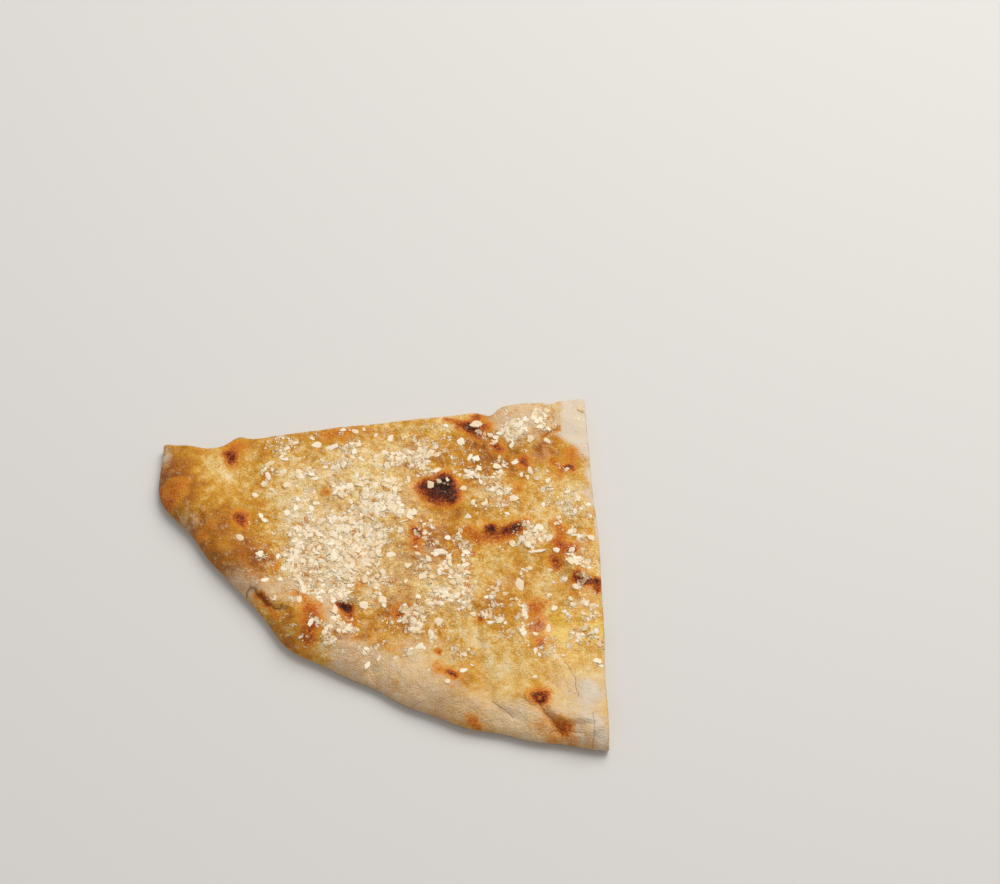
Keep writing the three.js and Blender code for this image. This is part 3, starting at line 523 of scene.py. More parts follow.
WHITE_EDGE = [
    (-11, 4), (-9.6, -5), (-10, -12), (-6.5, -16.5), (-3, -19.5), (-0.2, -24), (0.6, -34), (2.2, -47),
]
OIL_ZONES = [
    (-10, -90, 5, 0.8), (1, -91, 5, 0.9), (-5, -99, 9, 0.6), (-15.7, -22, 4, 0.7), (-3, -80, 5, 0.7),
    (0.4, -85, 5, 0.9), (-24, -72, 8, 0.45), (-52, -52, 8, 0.4), (-36, -115, 5, 0.15),
    (-70, -48, 6, 0.15), (-2, -58, 4, 0.5), (-18, -92, 5, 0.5), (-34, -78, 8, 0.3), (-62, -14, 8, 0.2),
]
print(len(FLOUR_ZONES) + len(WHITE_ZONES), "floury zones,", len(OIL_ZONES), "oily ones")

# %% Name the cracks
CRACKS = [  # path, width, darkness
    ([(-118.6, -79), (-118.2, -77.6), (-117, -76.7), (-115.6, -77.2), (-115, -78.6)], 0.45, 0.7),
    ([(-115, -78.6), (-113.2, -80.2), (-112, -81.6), (-110.8, -83.2), (-109.4, -83.6)], 0.6, 0.9),
    ([(-109.4, -83.6), (-108.2, -85.2), (-106.8, -85.4), (-105.6, -84.4)], 0.45, 0.6),
    ([(-104.8, -79.4), (-103.6, -78.4), (-102, -78.2), (-100.6, -79), (-100, -80.2)], 0.35, 0.4),
    ([(-75, -109), (-74.2, -111), (-72.8, -112.6), (-72.4, -116)], 0.35, 0.3),
    ([(-66, -121.6), (-63.4, -120.8), (-61, -121.2), (-56, -119.8)], 0.3, 0.3),
    ([(-33.4, -120.6), (-31.6, -122.8), (-29, -124), (-26, -126.5)], 0.35, 0.4),
    ([(-8.5, -105), (-6.8, -107.6), (-6.2, -109.8), (-5, -111.6), (-5.2, -116), (-4, -119.5)], 0.3, 0.4),
    ([(-17, -122.2), (-15.4, -124.8), (-13, -127), (-11.6, -129.8), (-9.5, -131.5)], 0.5, 0.45),
    ([(-14, -131.8), (-11, -130.8), (-8, -131.6), (-2, -132.8)], 0.4, 0.45),
    ([(-14.4, -134.2), (-10.6, -135.4), (-7, -134.8), (-0.6, -137.4)], 0.4, 0.45),
    ([(0.7, -125.6), (1.1, -131.6), (0.4, -137.6)], 0.35, 0.3),
    ([(-15.4, -15.6), (-12.6, -13), (-10.2, -11.3), (-9.7, -9.4)], 0.4, 0.6),
    ([(-12, -4.8), (-11, -7.4), (-12.4, -9.4)], 0.3, 0.35),
    ([(-15, -79), (-12.9, -81.4)], 0.3, 0.4),
    ([(-150.6, -39), (-147.6, -42.4), (-146.4, -46.4)], 0.35, 0.4),
]
print(len(CRACKS), "cracks")


# %% Turn the marks into soft numbers
NOISE_SIDE = 64
MARK_SOFTNESS = 0.62  # how wide a scorch's bell is, for a radius of 1
MOST_DUSTING, MOST_FLOUR = 0.6, 1.2


def hills(x, y, size, seed):
    """Smooth random hills between -1 and 1, with one hill about every size mm."""
    lattice = np.random.RandomState(seed).uniform(-1, 1, (NOISE_SIDE, NOISE_SIDE))
    u, v = x / size + 17.3 * seed, y / size + 9.1 * seed
    i, j = np.floor(u).astype(int), np.floor(v).astype(int)
    s, t = u - i, v - j
    s, t = s * s * s * (s * (6 * s - 15) + 10), t * t * t * (t * (6 * t - 15) + 10)

    def corner(di, dj):
        return lattice[(i + di) % NOISE_SIDE, (j + dj) % NOISE_SIDE]

    near = corner(0, 0) * (1 - s) + corner(1, 0) * s
    far = corner(0, 1) * (1 - s) + corner(1, 1) * s
    return near * (1 - t) + far * t


def add_up(zones, x, y):
    total = np.zeros(np.shape(x))
    for zone_x, zone_y, radius, amount in zones:
        total += amount * bell(np.hypot(x - zone_x, y - zone_y), radius)
    return total


def scorch_amount(x, y):
    # Marks are bent a little, so that none of them is a perfect circle.
    bent_x = x + 0.7 * hills(x, y, 3.5, 1) + 0.4 * hills(x, y, 1.5, 2)
    bent_y = y + 0.7 * hills(x, y, 3.5, 3) + 0.4 * hills(x, y, 1.5, 4)
    amount = np.zeros(np.shape(x))
    for mark_x, mark_y, radius, strength in SCORCH_SPOTS:
        amount += strength * bell(np.hypot(bent_x - mark_x, bent_y - mark_y), MARK_SOFTNESS * radius)
    for path, width, strength in SCORCH_STREAKS:
        amount += strength * bell(nearest_on_path(bent_x, bent_y, path)[0], MARK_SOFTNESS * width)
    for mark_x, mark_y, radius, width, strength in SCORCH_RINGS:
        off_ring = np.hypot(bent_x - mark_x, bent_y - mark_y) - radius
        amount += strength * bell(off_ring, MARK_SOFTNESS * width)
    return amount


def golden_amount(x, y):
    patches = 0.10 * hills(x, y, 9, 5) + 0.08 * hills(x, y, 4, 6) + 0.05 * hills(x, y, 1.8, 7)
    return GOLDEN + add_up(GOLDEN_ZONES, x, y) + patches


def flour_amount(x, y):
    """Up to 0.6 is a thin beige dusting, and above that the skin is white with flour."""
    dusting = np.minimum(add_up(FLOUR_ZONES, x, y), MOST_DUSTING)
    distance, side = nearest_on_path(x, y, WHITE_EDGE)
    white = smoothstep(distance * side + 1.6 * hills(x, y, 3, 27), -3.2, 3.4)
    return np.clip(dusting + white + add_up(WHITE_ZONES, x, y), 0, MOST_FLOUR)


def crack_depth(x, y):
    depth = np.zeros(np.shape(x))
    for path, width, darkness in CRACKS:
        depth = np.maximum(depth, darkness * bell(nearest_on_path(x, y, path)[0], 0.5 + width))
    return depth


scorch_there = scorch_amount(*np.array(SCORCHED_DOME))
print("scorch at the big scorched dome:", round(float(scorch_there), 2))

# %% [markdown]
# ## The bread as one mesh
#
# A square grid of points is bent over the quarter round, ring by ring, so that no point is a pole
# where faces crowd. The last rings are packed round the edge of the crust. The underside uses the
# same grid, and the two cut faces are strips between the edges, with small torn air pockets.
# A grid from numbers suits this form better than modifiers: every point knows how far it is from
# the crust, the cuts and the tip, and that is what the dough's height and colours follow.

# %% Bend the grid over the slice
GRID = 204
RIM_RINGS = 20
CUT_ROWS = 12


def ring_distance(ring, radius):
    even_rings = GRID - RIM_RINGS
    even_reach = radius - RIM_ROUND_TOP
    turn = np.clip((ring - even_rings) / RIM_RINGS, 0, 1) * (math.pi / 2)
    return np.minimum(ring / even_rings, 1) * even_reach + RIM_ROUND_TOP * np.sin(turn)


column, row = np.meshgrid(np.arange(GRID + 1), np.arange(GRID + 1), indexing="ij")
ring = np.maximum(column, row)
least = np.minimum(column, row) / np.maximum(ring, 1)
grid_share = np.where(column >= row, 0.5 * least, 1 - 0.5 * least)
grid_share[0, 0] = 0.5
grid_radius = rim_radius(grid_share)
grid_from_corner = ring_distance(ring, grid_radius)
grid_from_rim = grid_radius - grid_from_corner
grid_x, grid_y = wander(grid_share, grid_from_corner)
smaller_angle = SWEEP * np.minimum(grid_share, 1 - grid_share)
grid_from_cut = grid_from_corner * np.sin(smaller_angle)
print("grid:", grid_x.shape, "cell about", round(float(grid_radius.mean()) / GRID, 2), "mm")


# %% Raise the skin, with its finest bumps, and shape the underside
def fine_relief(x, y, from_rim):
    """Pores, wrinkles and small bubbles, finer than the named marks."""
    soft = 0.20 * hills(x, y, 4.2, 11) + 0.15 * hills(x, y, 2.3, 12) + 0.10 * hills(x, y, 1.4, 13)
    bubbles = 0.25 * np.maximum(hills(x, y, 2.9, 14), 0) ** 2
    wrinkles = -0.16 * bell(hills(x, y, 9.0, 15), 0.06) - 0.12 * bell(hills(x, y, 6.0, 16), 0.07)
    cracks = -0.45 * crack_depth(x, y)
    return (soft + bubbles + wrinkles + cracks) * np.clip(from_rim / 2, 0, 1)


RUBBLE = 0.22  # unevenness of the cheese drifts
UNDERSIDE_PITS = 0.35
top_z = top_height(grid_x, grid_y, grid_from_rim, grid_from_cut)
top_z += fine_relief(grid_x, grid_y, grid_from_rim)
rubble = RUBBLE * hills(grid_x, grid_y, 1.6, 17) * cheese_amount(grid_x, grid_y)
top_z += rubble * np.clip(grid_from_rim / 3, 0, 1)

bottom_z = RIM_MIDDLE_HEIGHT * (1 - rim_rounding(grid_from_rim, RIM_ROUND_BOTTOM))
inside = np.clip(grid_from_rim / 3, 0, 1) * np.clip(grid_from_cut / 2, 0, 1)
pitted = np.maximum(hills(grid_x, grid_y, 5, 18) + 0.3 * hills(grid_x, grid_y, 1.7, 19), 0.0)
bottom_z += UNDERSIDE_PITS * pitted * inside
print("skin, mm:", round(float(top_z.min()), 2), "to", round(float(top_z.max()), 2))

# %% Collect the points, the faces and the numbers that the material reads
points, faces, face_slots = [], [], []
MARK_NAMES = ("scorch", "golden", "flour", "oil", "melted", "cheese", "crumbs", "flakes")
marks = {name: [] for name in MARK_NAMES}
CRUST, CRUMB = 0, 1


def add_points(x, y, z, **values):
    """Adds points and returns their numbers, in the same layout as x."""
    start = sum(len(block) for block in points)
    points.append(np.stack([np.ravel(x), np.ravel(y), np.ravel(z)], 1))
    for name, list_of_values in marks.items():
        list_of_values.append(np.broadcast_to(values.get(name, 0.0), np.shape(x)).ravel())
    return start + np.arange(np.size(x)).reshape(np.shape(x))


def add_sheet(numbers, material, flipped=False):
    """Joins a grid of point numbers with quads, or with triangles where two corners are one."""
    a, b = numbers[:-1, :-1].ravel(), numbers[1:, :-1].ravel()
    c, d = numbers[1:, 1:].ravel(), numbers[:-1, 1:].ravel()
    quads = np.stack([d, c, b, a] if flipped else [a, b, c, d], 1)
    for quad in quads.tolist():
        corners = list(dict.fromkeys(quad))
        if len(corners) > 2:
            faces.append(corners)
            face_slots.append(material)


print("numbers at each point:", ", ".join(MARK_NAMES))

# %% Name the drifts of fine cheese
CRUMB_CLUMPS = [  # x, y, radius, amount
    (-100, -57, 6, 0.9), (-92, -55, 7, 1), (-84, -52, 6, 0.9), (-98, -64, 6, 0.9), (-90, -63, 7, 1),
    (-82, -60, 7, 1), (-100, -70, 5, 0.7), (-92, -71, 6, 0.9), (-84, -69, 6, 0.9), (-76, -66, 5, 0.8),
    (-75, -72, 4, 0.8), (-80, -47, 6, 0.8), (-94, -75, 6, 0.9), (-86, -75, 5, 0.9), (-74, -40, 6, 0.85),
    (-68, -43, 5, 0.85), (-70, -33, 5, 0.7), (-76, -28, 5, 0.6), (-66, -25, 4, 0.5), (-58, -24, 4, 0.6),
    (-55, -28, 3, 0.6), (-62.5, -47, 3, 0.6), (-66, -51, 3, 0.4), (-74, -54, 5, 0.8),
    (-72, -60, 4, 0.4), (-35, -33, 4.5, 1), (-34, -38, 4, 0.9), (-36, -44, 3, 0.8), (-30, -37, 3, 0.7),
    (-19, -54, 3.5, 1), (-17, -57, 3.5, 1), (-22, -58, 3, 0.7), (-5, -66, 3, 0.8),
    (-1, -68.5, 2.6, 0.8), (-10, -63, 2, 0.5), (-27, -8, 4, 0.35), (-20, -6, 4, 0.25),
    (-24, -13, 4, 0.6), (-16, -11, 4, 0.25), (-14, -4, 3, 0.1), (-39, -9.5, 2, 0.6), (-62, -69, 3, 0.5),
    (-56, -70, 3.5, 0.7), (-50, -68, 3.5, 0.75), (-46, -72, 3.5, 0.75), (-59, -77, 3, 0.5),
    (-52, -76, 3.5, 0.75), (-47, -80, 3.5, 0.85), (-53, -82, 3.5, 0.75), (-45, -85, 2.5, 0.6),
    (-60, -92.5, 2.5, 0.7), (-50, -91, 2.5, 0.6), (-64, -85, 3, 0.6), (-42, -79, 2, 0.6),
    (-108, -30, 2.5, 0.6), (-102, -31, 2.5, 0.8), (-88, -37, 3, 0.8), (-97, -32, 2.5, 0.4),
    (-112, -32, 2, 0.4), (-95, -18, 3, 0.4), (-85, -20, 5, 0.4), (-104, -47, 2.5, 0.5),
    (-80, -35, 4, 0.5), (-88, -86, 2.5, 0.8), (-83, -94, 2.5, 0.9), (-75, -106, 2.5, 0.6),
    (-71, -103, 2, 0.4), (-86, -79, 3, 0.5), (-88, -92, 3, 0.3), (-3, -38, 2.5, 0.5),
    (-8, -45, 2.5, 0.5), (-2, -47, 3, 0.6), (0, -44, 2, 0.4), (-37, -23, 5, -0.35), (-48, -20, 4, 0.2),
    (-12, -19, 5, -0.3), (-30, -84, 3, 0.3), (-35, -87, 2, 0.4), (-23, -86, 2, 0.5), (-25, -82, 3, 0.3),
    (-45, -58, 4, 0.3), (-52, -60, 3, 0.3), (-51, -39, 7, -0.2), (-56, -64, 5, -0.4),
    (-66, -84, 4, -0.3), (-97, -78, 4, 0.8), (-92, -83, 3, 0.7), (-90, -91, 2.5, 0.4),
    (-88.5, -98, 3, 0.5), (-86, -105, 3, 0.4), (-66, -66, 4, -0.3), (-58, -74, 4, -0.25),
    (-44, -76, 4, -0.25), (-70, -36, 5, -0.25), (-36, -114, 8, -0.15), (-56, -106, 7, -0.15),
    (-31, -20, 3, 0.2), (-8, -27, 4, 0.2),
]
SPRINKLED = 0.16  # cheese outside the drifts
MOST_CHEESE = 1.2
GAPS = 0.85  # how deep the gaps between small clumps cut into a drift
CLEAN_RIM = 5  # within this many mm of the crust's edge the cheese thins out

above_rim = smoothstep(grid_y, -112, -98)
on_slice = smoothstep(grid_x, BARE_CRUST_X, BARE_CRUST_X + 10) * above_rim
clumps = smoothstep(hills(grid_x, grid_y, 4.0, 25) + 0.7 * hills(grid_x, grid_y, 1.8, 26), -0.5, 0.5)
cheese_here = np.minimum(SPRINKLED + add_up(CRUMB_CLUMPS, grid_x, grid_y), MOST_CHEESE)
cheese_here = cheese_here - GAPS * (1 - clumps) + 0.25 * hills(grid_x, grid_y, 8.0, 28)
cheese_here = np.clip(cheese_here, 0, 1) * on_slice * np.clip(grid_from_rim / CLEAN_RIM, 0, 1)
print("cheese covers", round(100 * float(cheese_here.mean())), "% of the skin")

# %% Give the skin and the underside their numbers
RIM_BROWNING, RIM_BROWNING_WIDTH = 0.2, 3.0
CRUMBS_FROM_CUT, FLAKES_FROM_CUT = 0.6, 1.5  # nearer to a cut they thin out, so that none juts out
FLAKES_IN_DRIFTS = 1.4  # above 1, flakes keep to the middle of a drift
top = add_points(
    grid_x, grid_y, top_z,
    scorch=scorch_amount(grid_x, grid_y),
    golden=golden_amount(grid_x, grid_y) + RIM_BROWNING * bell(grid_from_rim, RIM_BROWNING_WIDTH),
    flour=flour_amount(grid_x, grid_y),
    oil=np.clip(add_up(OIL_ZONES, grid_x, grid_y), 0, 1),
    melted=above_rim * (0.25 + 0.5 * cheese_amount(grid_x, grid_y)),
    cheese=cheese_here,
    crumbs=cheese_here * np.clip(grid_from_cut / CRUMBS_FROM_CUT, 0, 1),
    flakes=cheese_here**FLAKES_IN_DRIFTS * np.clip(grid_from_cut / FLAKES_FROM_CUT, 0, 1),
)
leopard = hills(grid_x, grid_y, 6, 21) + 0.5 * hills(grid_x, grid_y, 2.6, 22)
bottom = add_points(
    grid_x, grid_y, bottom_z,
    scorch=0.75 * smoothstep(leopard, 0.35, 0.95) * np.clip(grid_from_rim / 4, 0, 1),
    golden=0.35 + 0.18 * hills(grid_x, grid_y, 12, 23),
    flour=0.55 + 0.25 * hills(grid_x, grid_y, 7, 24),
)
bottom[GRID, :] = top[GRID, :]
bottom[:, GRID] = top[:, GRID]
add_sheet(top, CRUST)
add_sheet(bottom, CRUST, flipped=True)
print("points so far:", sum(len(block) for block in points))


# %% Close the two cut faces with crumb and its air pockets
POCKET_DEPTH = 1.1
STILL_ENDS = 8  # steps along a cut over which its pockets fade out


def add_cut_face(low, high, outward_angle, flipped, seed, tip_column=None):
    """Rows of points between the edge of the underside and the edge of the skin."""
    all_points = np.concatenate(points)
    start, end = all_points[low], all_points[high]
    share = np.linspace(0, 1, CUT_ROWS + 1)[None, :, None]
    wall = start[:, None, :] * (1 - share) + end[:, None, :] * share
    along, up = np.hypot(wall[..., 0], wall[..., 1]), wall[..., 2]
    pockets = np.maximum(hills(along, up, 2.6, seed) + 0.5 * hills(along, up, 1.2, seed + 1) - 0.1, 0)
    torn = 0.12 * hills(along, up, 0.9, seed + 2) + 0.25 * hills(along, 0 * up, 5.0, seed + 3)
    near_skin = np.sin(math.pi * share[..., 0]) ** 0.5
    step = np.arange(GRID + 1)[:, None]
    from_ends = np.clip(np.minimum(step, GRID - step) / STILL_ENDS, 0, 1)
    depth = (POCKET_DEPTH * pockets - torn) * near_skin * from_ends
    wall[..., 0] -= depth * math.cos(math.radians(outward_angle))
    wall[..., 1] -= depth * math.sin(math.radians(outward_angle))
    # Near the skin and the underside the crumb is browner, its own colour; the air pockets are painted
    # darker, as painted shade in the hollows.
    numbers = add_points(
        wall[..., 0], wall[..., 1], wall[..., 2],
        golden=0.15 + 0.5 * (1 - near_skin) + 0.4 * pockets,
        flour=0.2,
    )
    numbers[:, 0], numbers[:, -1] = low, high
    numbers[-1, :] = high[-1]
    if tip_column is not None:
        numbers[0, :] = tip_column
    add_sheet(numbers, CRUMB, flipped)
    return numbers[0, :]


tip_column = add_cut_face(bottom[:, 0], top[:, 0], LEFT_CUT_ANGLE - 90, False, 31)
add_cut_face(bottom[0, :], top[0, :], RIGHT_CUT_ANGLE + 90, True, 41, tip_column)
print("faces in all:", len(faces))


# %% Make the mesh, without the points that no face uses
def build_mesh(name, all_points, face_list, values, offset=(0, 0, 0)):
    """A mesh from points in mm, with the numbers in values as attributes of its points."""
    used = np.unique(np.concatenate([np.array(face) for face in face_list]))
    new_number = np.zeros(len(all_points), dtype=int)
    new_number[used] = np.arange(len(used))
    placed = (np.asarray(all_points)[used] + np.array(offset)) * MM
    mesh = bpy.data.meshes.new(name)
    mesh.from_pydata(placed.tolist(), [], [new_number[face].tolist() for face in face_list])
    for value_name, list_of_values in values.items():
        attribute = mesh.attributes.new(value_name, "FLOAT", "POINT")
        attribute.data.foreach_set("value", np.asarray(list_of_values, dtype=np.float32)[used])
    mesh.update()
    return mesh


def add_object(name, mesh, smooth=True):
    mesh.polygons.foreach_set("use_smooth", [smooth] * len(mesh.polygons))
    piece = bpy.data.objects.new(name, mesh)
    bpy.context.scene.collection.objects.link(piece)
    return piece


def count_open_edges(mesh):
    work = bmesh.new()
    work.from_mesh(mesh)
    count = sum(1 for edge in work.edges if not edge.is_manifold)
    work.free()
    return count


bread_values = {name: np.concatenate(blocks) for name, blocks in marks.items()}
CORNER_OFFSET = (CORNER.x, CORNER.y, 0)
bread_mesh = build_mesh("bread", np.concatenate(points), faces, bread_values, CORNER_OFFSET)
bread_mesh.polygons.foreach_set("material_index", face_slots)
bread = add_object("focaccia_bread", bread_mesh)
print("bread:", len(bread_mesh.polygons), "faces,", count_open_edges(bread_mesh), "open edges")

# %% [markdown]
# ## Materials from small reusable groups
#
# A baked skin is one surface with many finishes. Each finish is a mask: the soft number on the
# mesh, broken up by noise so that its edge is ragged like the real one. The mask mixes the next
# colour over the last. The noise reads the object's own coordinates, so it stays on the bread.


# %% Write colours as a screen shows them
def srgb(red, green, blue):
    """A colour from 0 to 255 as a screen shows it, turned into the linear light of the shaders."""
    shares = [value / 255 for value in (red, green, blue)]
    linear = [s / 12.92 if s <= 0.04045 else ((s + 0.055) / 1.055) ** 2.4 for s in shares]
    return (*linear, 1)


print("a screen's middle grey is", round(srgb(128, 128, 128)[0], 3), "in linear light")


# %% Add shader nodes in one line
def fill_socket(tree, socket, value):
    """Links a socket of another node to this one, or sets a plain value on it."""
    if isinstance(value, bpy.types.NodeSocket):
        tree.links.new(value, socket)
    else:
        socket.default_value = value


def add_node(tree, kind, inputs=None, **settings):
    node = tree.nodes.new(kind)
    for name, value in settings.items():
        setattr(node, name, value)
    for key, value in (inputs or {}).items():
        fill_socket(tree, node.inputs[key], value)
    return node


def math_of(tree, operation, first, second=0.0):
    return add_node(tree, "ShaderNodeMath", {0: first, 1: second}, operation=operation).outputs[0]


def plus(tree, first, second):
    return math_of(tree, "ADD", first, second)


def minus(tree, first, second):
    return math_of(tree, "SUBTRACT", first, second)


def times(tree, first, second):
    return math_of(tree, "MULTIPLY", first, second)


def mix_colours(tree, factor, below, above, blend_type="MIX"):
    inputs = {0: factor, 6: below, 7: above}
    settings = {"data_type": "RGBA", "blend_type": blend_type}
    return add_node(tree, "ShaderNodeMix", inputs, **settings).outputs[2]


def map_range(tree, value, low, high, to_low=0.0, to_high=1.0, smooth=True):
    inputs = {0: value, 1: low, 2: high, 3: to_low, 4: to_high}
    kind = "SMOOTHSTEP" if smooth else "LINEAR"
    return add_node(tree, "ShaderNodeMapRange", inputs, interpolation_type=kind).outputs[0]


def vector_math(tree, operation, inputs, output=0):
    return add_node(tree, "ShaderNodeVectorMath", inputs, operation=operation).outputs[output]


def own_place(tree):
    """The object's own coordinates, so that a pattern stays on the bread."""
    place = tree.nodes.get("Place") or add_node(tree, "ShaderNodeTexCoord", name="Place")
    return place.outputs["Object"]


def noise(tree, size_mm, detail=3.0, roughness=0.5, output=0):
    """Noise around zero, from -0.5 to 0.5, with patches of about this size."""
    inputs = {
        "Vector": own_place(tree), "Scale": 1 / (size_mm * MM), "Detail": detail, "Roughness": roughness,
    }
    node = add_node(tree, "ShaderNodeTexNoise", inputs)
    if output == 1:
        return vector_math(tree, "SUBTRACT", {0: node.outputs[1], 1: (0.5, 0.5, 0.5)})
    return minus(tree, node.outputs[0], 0.5)


def bent_place(tree, size_mm, bend_mm):
    """The object's own coordinates, pushed about by noise, so that a pattern loses its regularity."""
    push = vector_math(tree, "SCALE", {0: noise(tree, size_mm, output=1), "Scale": bend_mm * MM})
    return vector_math(tree, "ADD", {0: own_place(tree), 1: push})


print("helpers for nodes are ready")


# %% Make ramps of colour, and groups
def color_ramp(tree, value, stops):
    """Stops are a place from 0 to 1, a colour, and how much it covers."""
    node = add_node(tree, "ShaderNodeValToRGB", {0: value})
    elements = node.color_ramp.elements
    elements.remove(elements[1])
    for i, (place, colour, cover) in enumerate(stops):
        element = elements[0] if i == 0 else elements.new(place)
        element.position = place
        element.color = (*colour[:3], cover)
    return node


def new_group(name, inputs, outputs):
    """A shader node group. Inputs are names with a value each, and outputs names with a type."""
    tree = bpy.data.node_groups.new(name, "ShaderNodeTree")
    for socket_name, value in inputs.items():
        kind = "NodeSocketVector" if isinstance(value, tuple) else "NodeSocketFloat"
        socket = tree.interface.new_socket(socket_name, in_out="INPUT", socket_type=kind)
        socket.default_value = value
    for socket_name, kind in outputs.items():
        tree.interface.new_socket(socket_name, in_out="OUTPUT", socket_type=kind)
    return tree, tree.nodes.new("NodeGroupInput").outputs, tree.nodes.new("NodeGroupOutput").inputs


def use_group(tree, group, inputs=None):
    """Places a group in a tree and gives its outputs."""
    return add_node(tree, "ShaderNodeGroup", inputs, node_tree=group).outputs


print("helpers for groups are ready")

# %% Make the group that gives a soft number a ragged edge
ragged, given, result = new_group(
    "ragged_mask",
    {"Amount": 0.0, "Raggedness": 0.5, "Low": 0.3, "High": 0.7},
    {"Mask": "NodeSocketFloat"},
)
grain = plus(ragged, noise(ragged, 2.2), times(ragged, noise(ragged, 0.7), 0.7))
rough_edge = times(ragged, grain, given["Raggedness"])
rough_amount = plus(ragged, given["Amount"], rough_edge)
ragged.links.new(map_range(ragged, rough_amount, given["Low"], given["High"]), result["Mask"])


def ragged_mask(tree, amount, raggedness, low, high):
    settings = {"Amount": amount, "Raggedness": raggedness, "Low": low, "High": high}
    return use_group(tree, ragged, settings)["Mask"]


print("group:", ragged.name)

# %% [markdown]
# Grated cheese is far finer than any mesh here. Cells with thin gaps between them draw it: each
# cell is a flake, and a flake is there or not by chance, as often as the number on the mesh says.

# %% Make the group that covers the skin with fine flakes
flaky, given, result = new_group(
    "flaky_layer",
    {"Amount": 0.5, "Size": 1.0},
    {"Mask": "NodeSocketFloat", "Tone": "NodeSocketFloat"},
)
wavy_place = bent_place(flaky, 1.1, 0.9)
flake_scale = math_of(flaky, "DIVIDE", 1 / MM, given["Size"])
cells, edges = [
    add_node(
        flaky, "ShaderNodeTexVoronoi", {"Vector": wavy_place, "Scale": flake_scale},
        voronoi_dimensions="2D", feature=feature,
    )
    for feature in ("F1", "DISTANCE_TO_EDGE")
]
chance = add_node(flaky, "ShaderNodeSeparateColor", {0: cells.outputs["Color"]}).outputs
spare = minus(flaky, given["Amount"], chance[0])
present = map_range(flaky, spare, 0.0, 0.06)
whole = map_range(flaky, edges.outputs["Distance"], 0.02, 0.10)
flaky.links.new(times(flaky, present, whole), result["Mask"])
flaky.links.new(chance[1], result["Tone"])
print("group:", flaky.name)

# %% [markdown]
# Cracks are thinner than the mesh can show. Their grooves are in the mesh, and a dark line is
# drawn along the middle of each: partly the brown of the torn skin, partly painted shade inside
# the crack. The group below measures how far a place is from one straight stretch, and a loop
# joins all the stretches.

# %% Make the group that draws the cracks
stretch, given, result = new_group(
    "crack_stretch",
    {
        "Place": (0.0, 0.0, 0.0), "Along": (1.0, 0.0, 0.0), "Along start": 0.0,
        "Across": (0.0, 1.0, 0.0), "Across start": 0.0, "Darkness": 1.0, "So far": 0.0,
    },
    {"Mask": "NodeSocketFloat"},
)
across = vector_math(stretch, "DOT_PRODUCT", {0: given["Place"], 1: given["Across"]}, output=1)
across = math_of(stretch, "ABSOLUTE", minus(stretch, across, given["Across start"]))
on_line = map_range(stretch, across, 0.25, 0.8, 1.0, 0.0)
along = vector_math(stretch, "DOT_PRODUCT", {0: given["Place"], 1: given["Along"]}, output=1)
from_middle = math_of(stretch, "ABSOLUTE", minus(stretch, along, given["Along start"]))
within_ends = map_range(stretch, from_middle, 0.45, 0.6, 1.0, 0.0)
drawn = times(stretch, times(stretch, on_line, within_ends), given["Darkness"])
stretch.links.new(math_of(stretch, "MAXIMUM", drawn, given["So far"]), result["Mask"])
print("group:", stretch.name)

# %% Join the stretches into the crack lines
cracked, given, result = new_group("crack_lines", {"Darkness": 1.0}, {"Mask": "NodeSocketFloat"})
wavy_place = bent_place(cracked, 1.6, 0.9)
flattened = vector_math(cracked, "MULTIPLY", {0: wavy_place, 1: (1 / MM, 1 / MM, 0)})
so_far = 0.0
for path, width, darkness in CRACKS:
    for (ax, ay), (bx, by) in zip(path, path[1:]):
        line_start = Vector((CORNER.x + ax, CORNER.y + ay, 0))
        line_vector = Vector((bx - ax, by - ay, 0))
        along = line_vector / line_vector.length_squared
        across = Vector((-along.y, along.x, 0)).normalized() / width
        so_far = use_group(
            cracked, stretch,
            {
                "Place": flattened, "Darkness": darkness, "So far": so_far,
                "Along": along, "Along start": along.dot(line_start) + 0.5,
                "Across": across, "Across start": across.dot(line_start),
            },
        )["Mask"]
cracked.links.new(times(cracked, so_far, given["Darkness"]), result["Mask"])
print("group:", cracked.name, "with", len(cracked.nodes), "nodes")

# %% [markdown]
# The skin's colours come next. Scorch goes on top of flour and oil, because they burn with the
# dough, and the cheese lies on top of all of it.

# %% Name the colours
SKIN_COLOURS = [  # place, colour, cover
    (0.0, srgb(232, 214, 176), 1), (0.2, srgb(224, 187, 114), 1), (0.42, srgb(201, 142, 32), 1),
    (0.68, srgb(174, 105, 14), 1), (1.0, srgb(138, 70, 8), 1),
]
HOTTEST = 1.9  # the scorch at the right end of the colours below
SCORCH_COLOURS = [
    (0.0, srgb(216, 160, 50), 0), (0.04, srgb(214, 152, 42), 0), (0.13, srgb(211, 134, 30), 0.7),
    (0.25, srgb(192, 102, 14), 1), (0.40, srgb(146, 58, 10), 1), (0.56, srgb(98, 34, 8), 1),
    (0.76, srgb(52, 22, 10), 1), (1.0, srgb(26, 16, 10), 1),
]
DUSTING_COLOUR = srgb(214, 186, 152)
WHITE_COLOUR = srgb(209, 194, 173)
MELTED_COLOUR = srgb(234, 212, 160)
SPECK_AND_GLINT_COLOUR = srgb(246, 230, 192)
CHEESE_COLOURS = [
    (0.0, srgb(188, 134, 70), 1), (0.10, srgb(209, 178, 128), 1), (0.4, srgb(224, 204, 170), 1),
    (1.0, srgb(235, 223, 201), 1),
]
OIL_TINT = srgb(250, 228, 128)
CRACK_AND_SHADE_COLOUR = srgb(130, 70, 30)
PAINTED_SHADE_LOW_SIDES = srgb(212, 166, 92)
BURNT_CHEESE = srgb(170, 140, 96)
print("skin:", len(SKIN_COLOURS), "colours, scorch:", len(SCORCH_COLOURS))
print("cheese:", len(CHEESE_COLOURS), "colours")

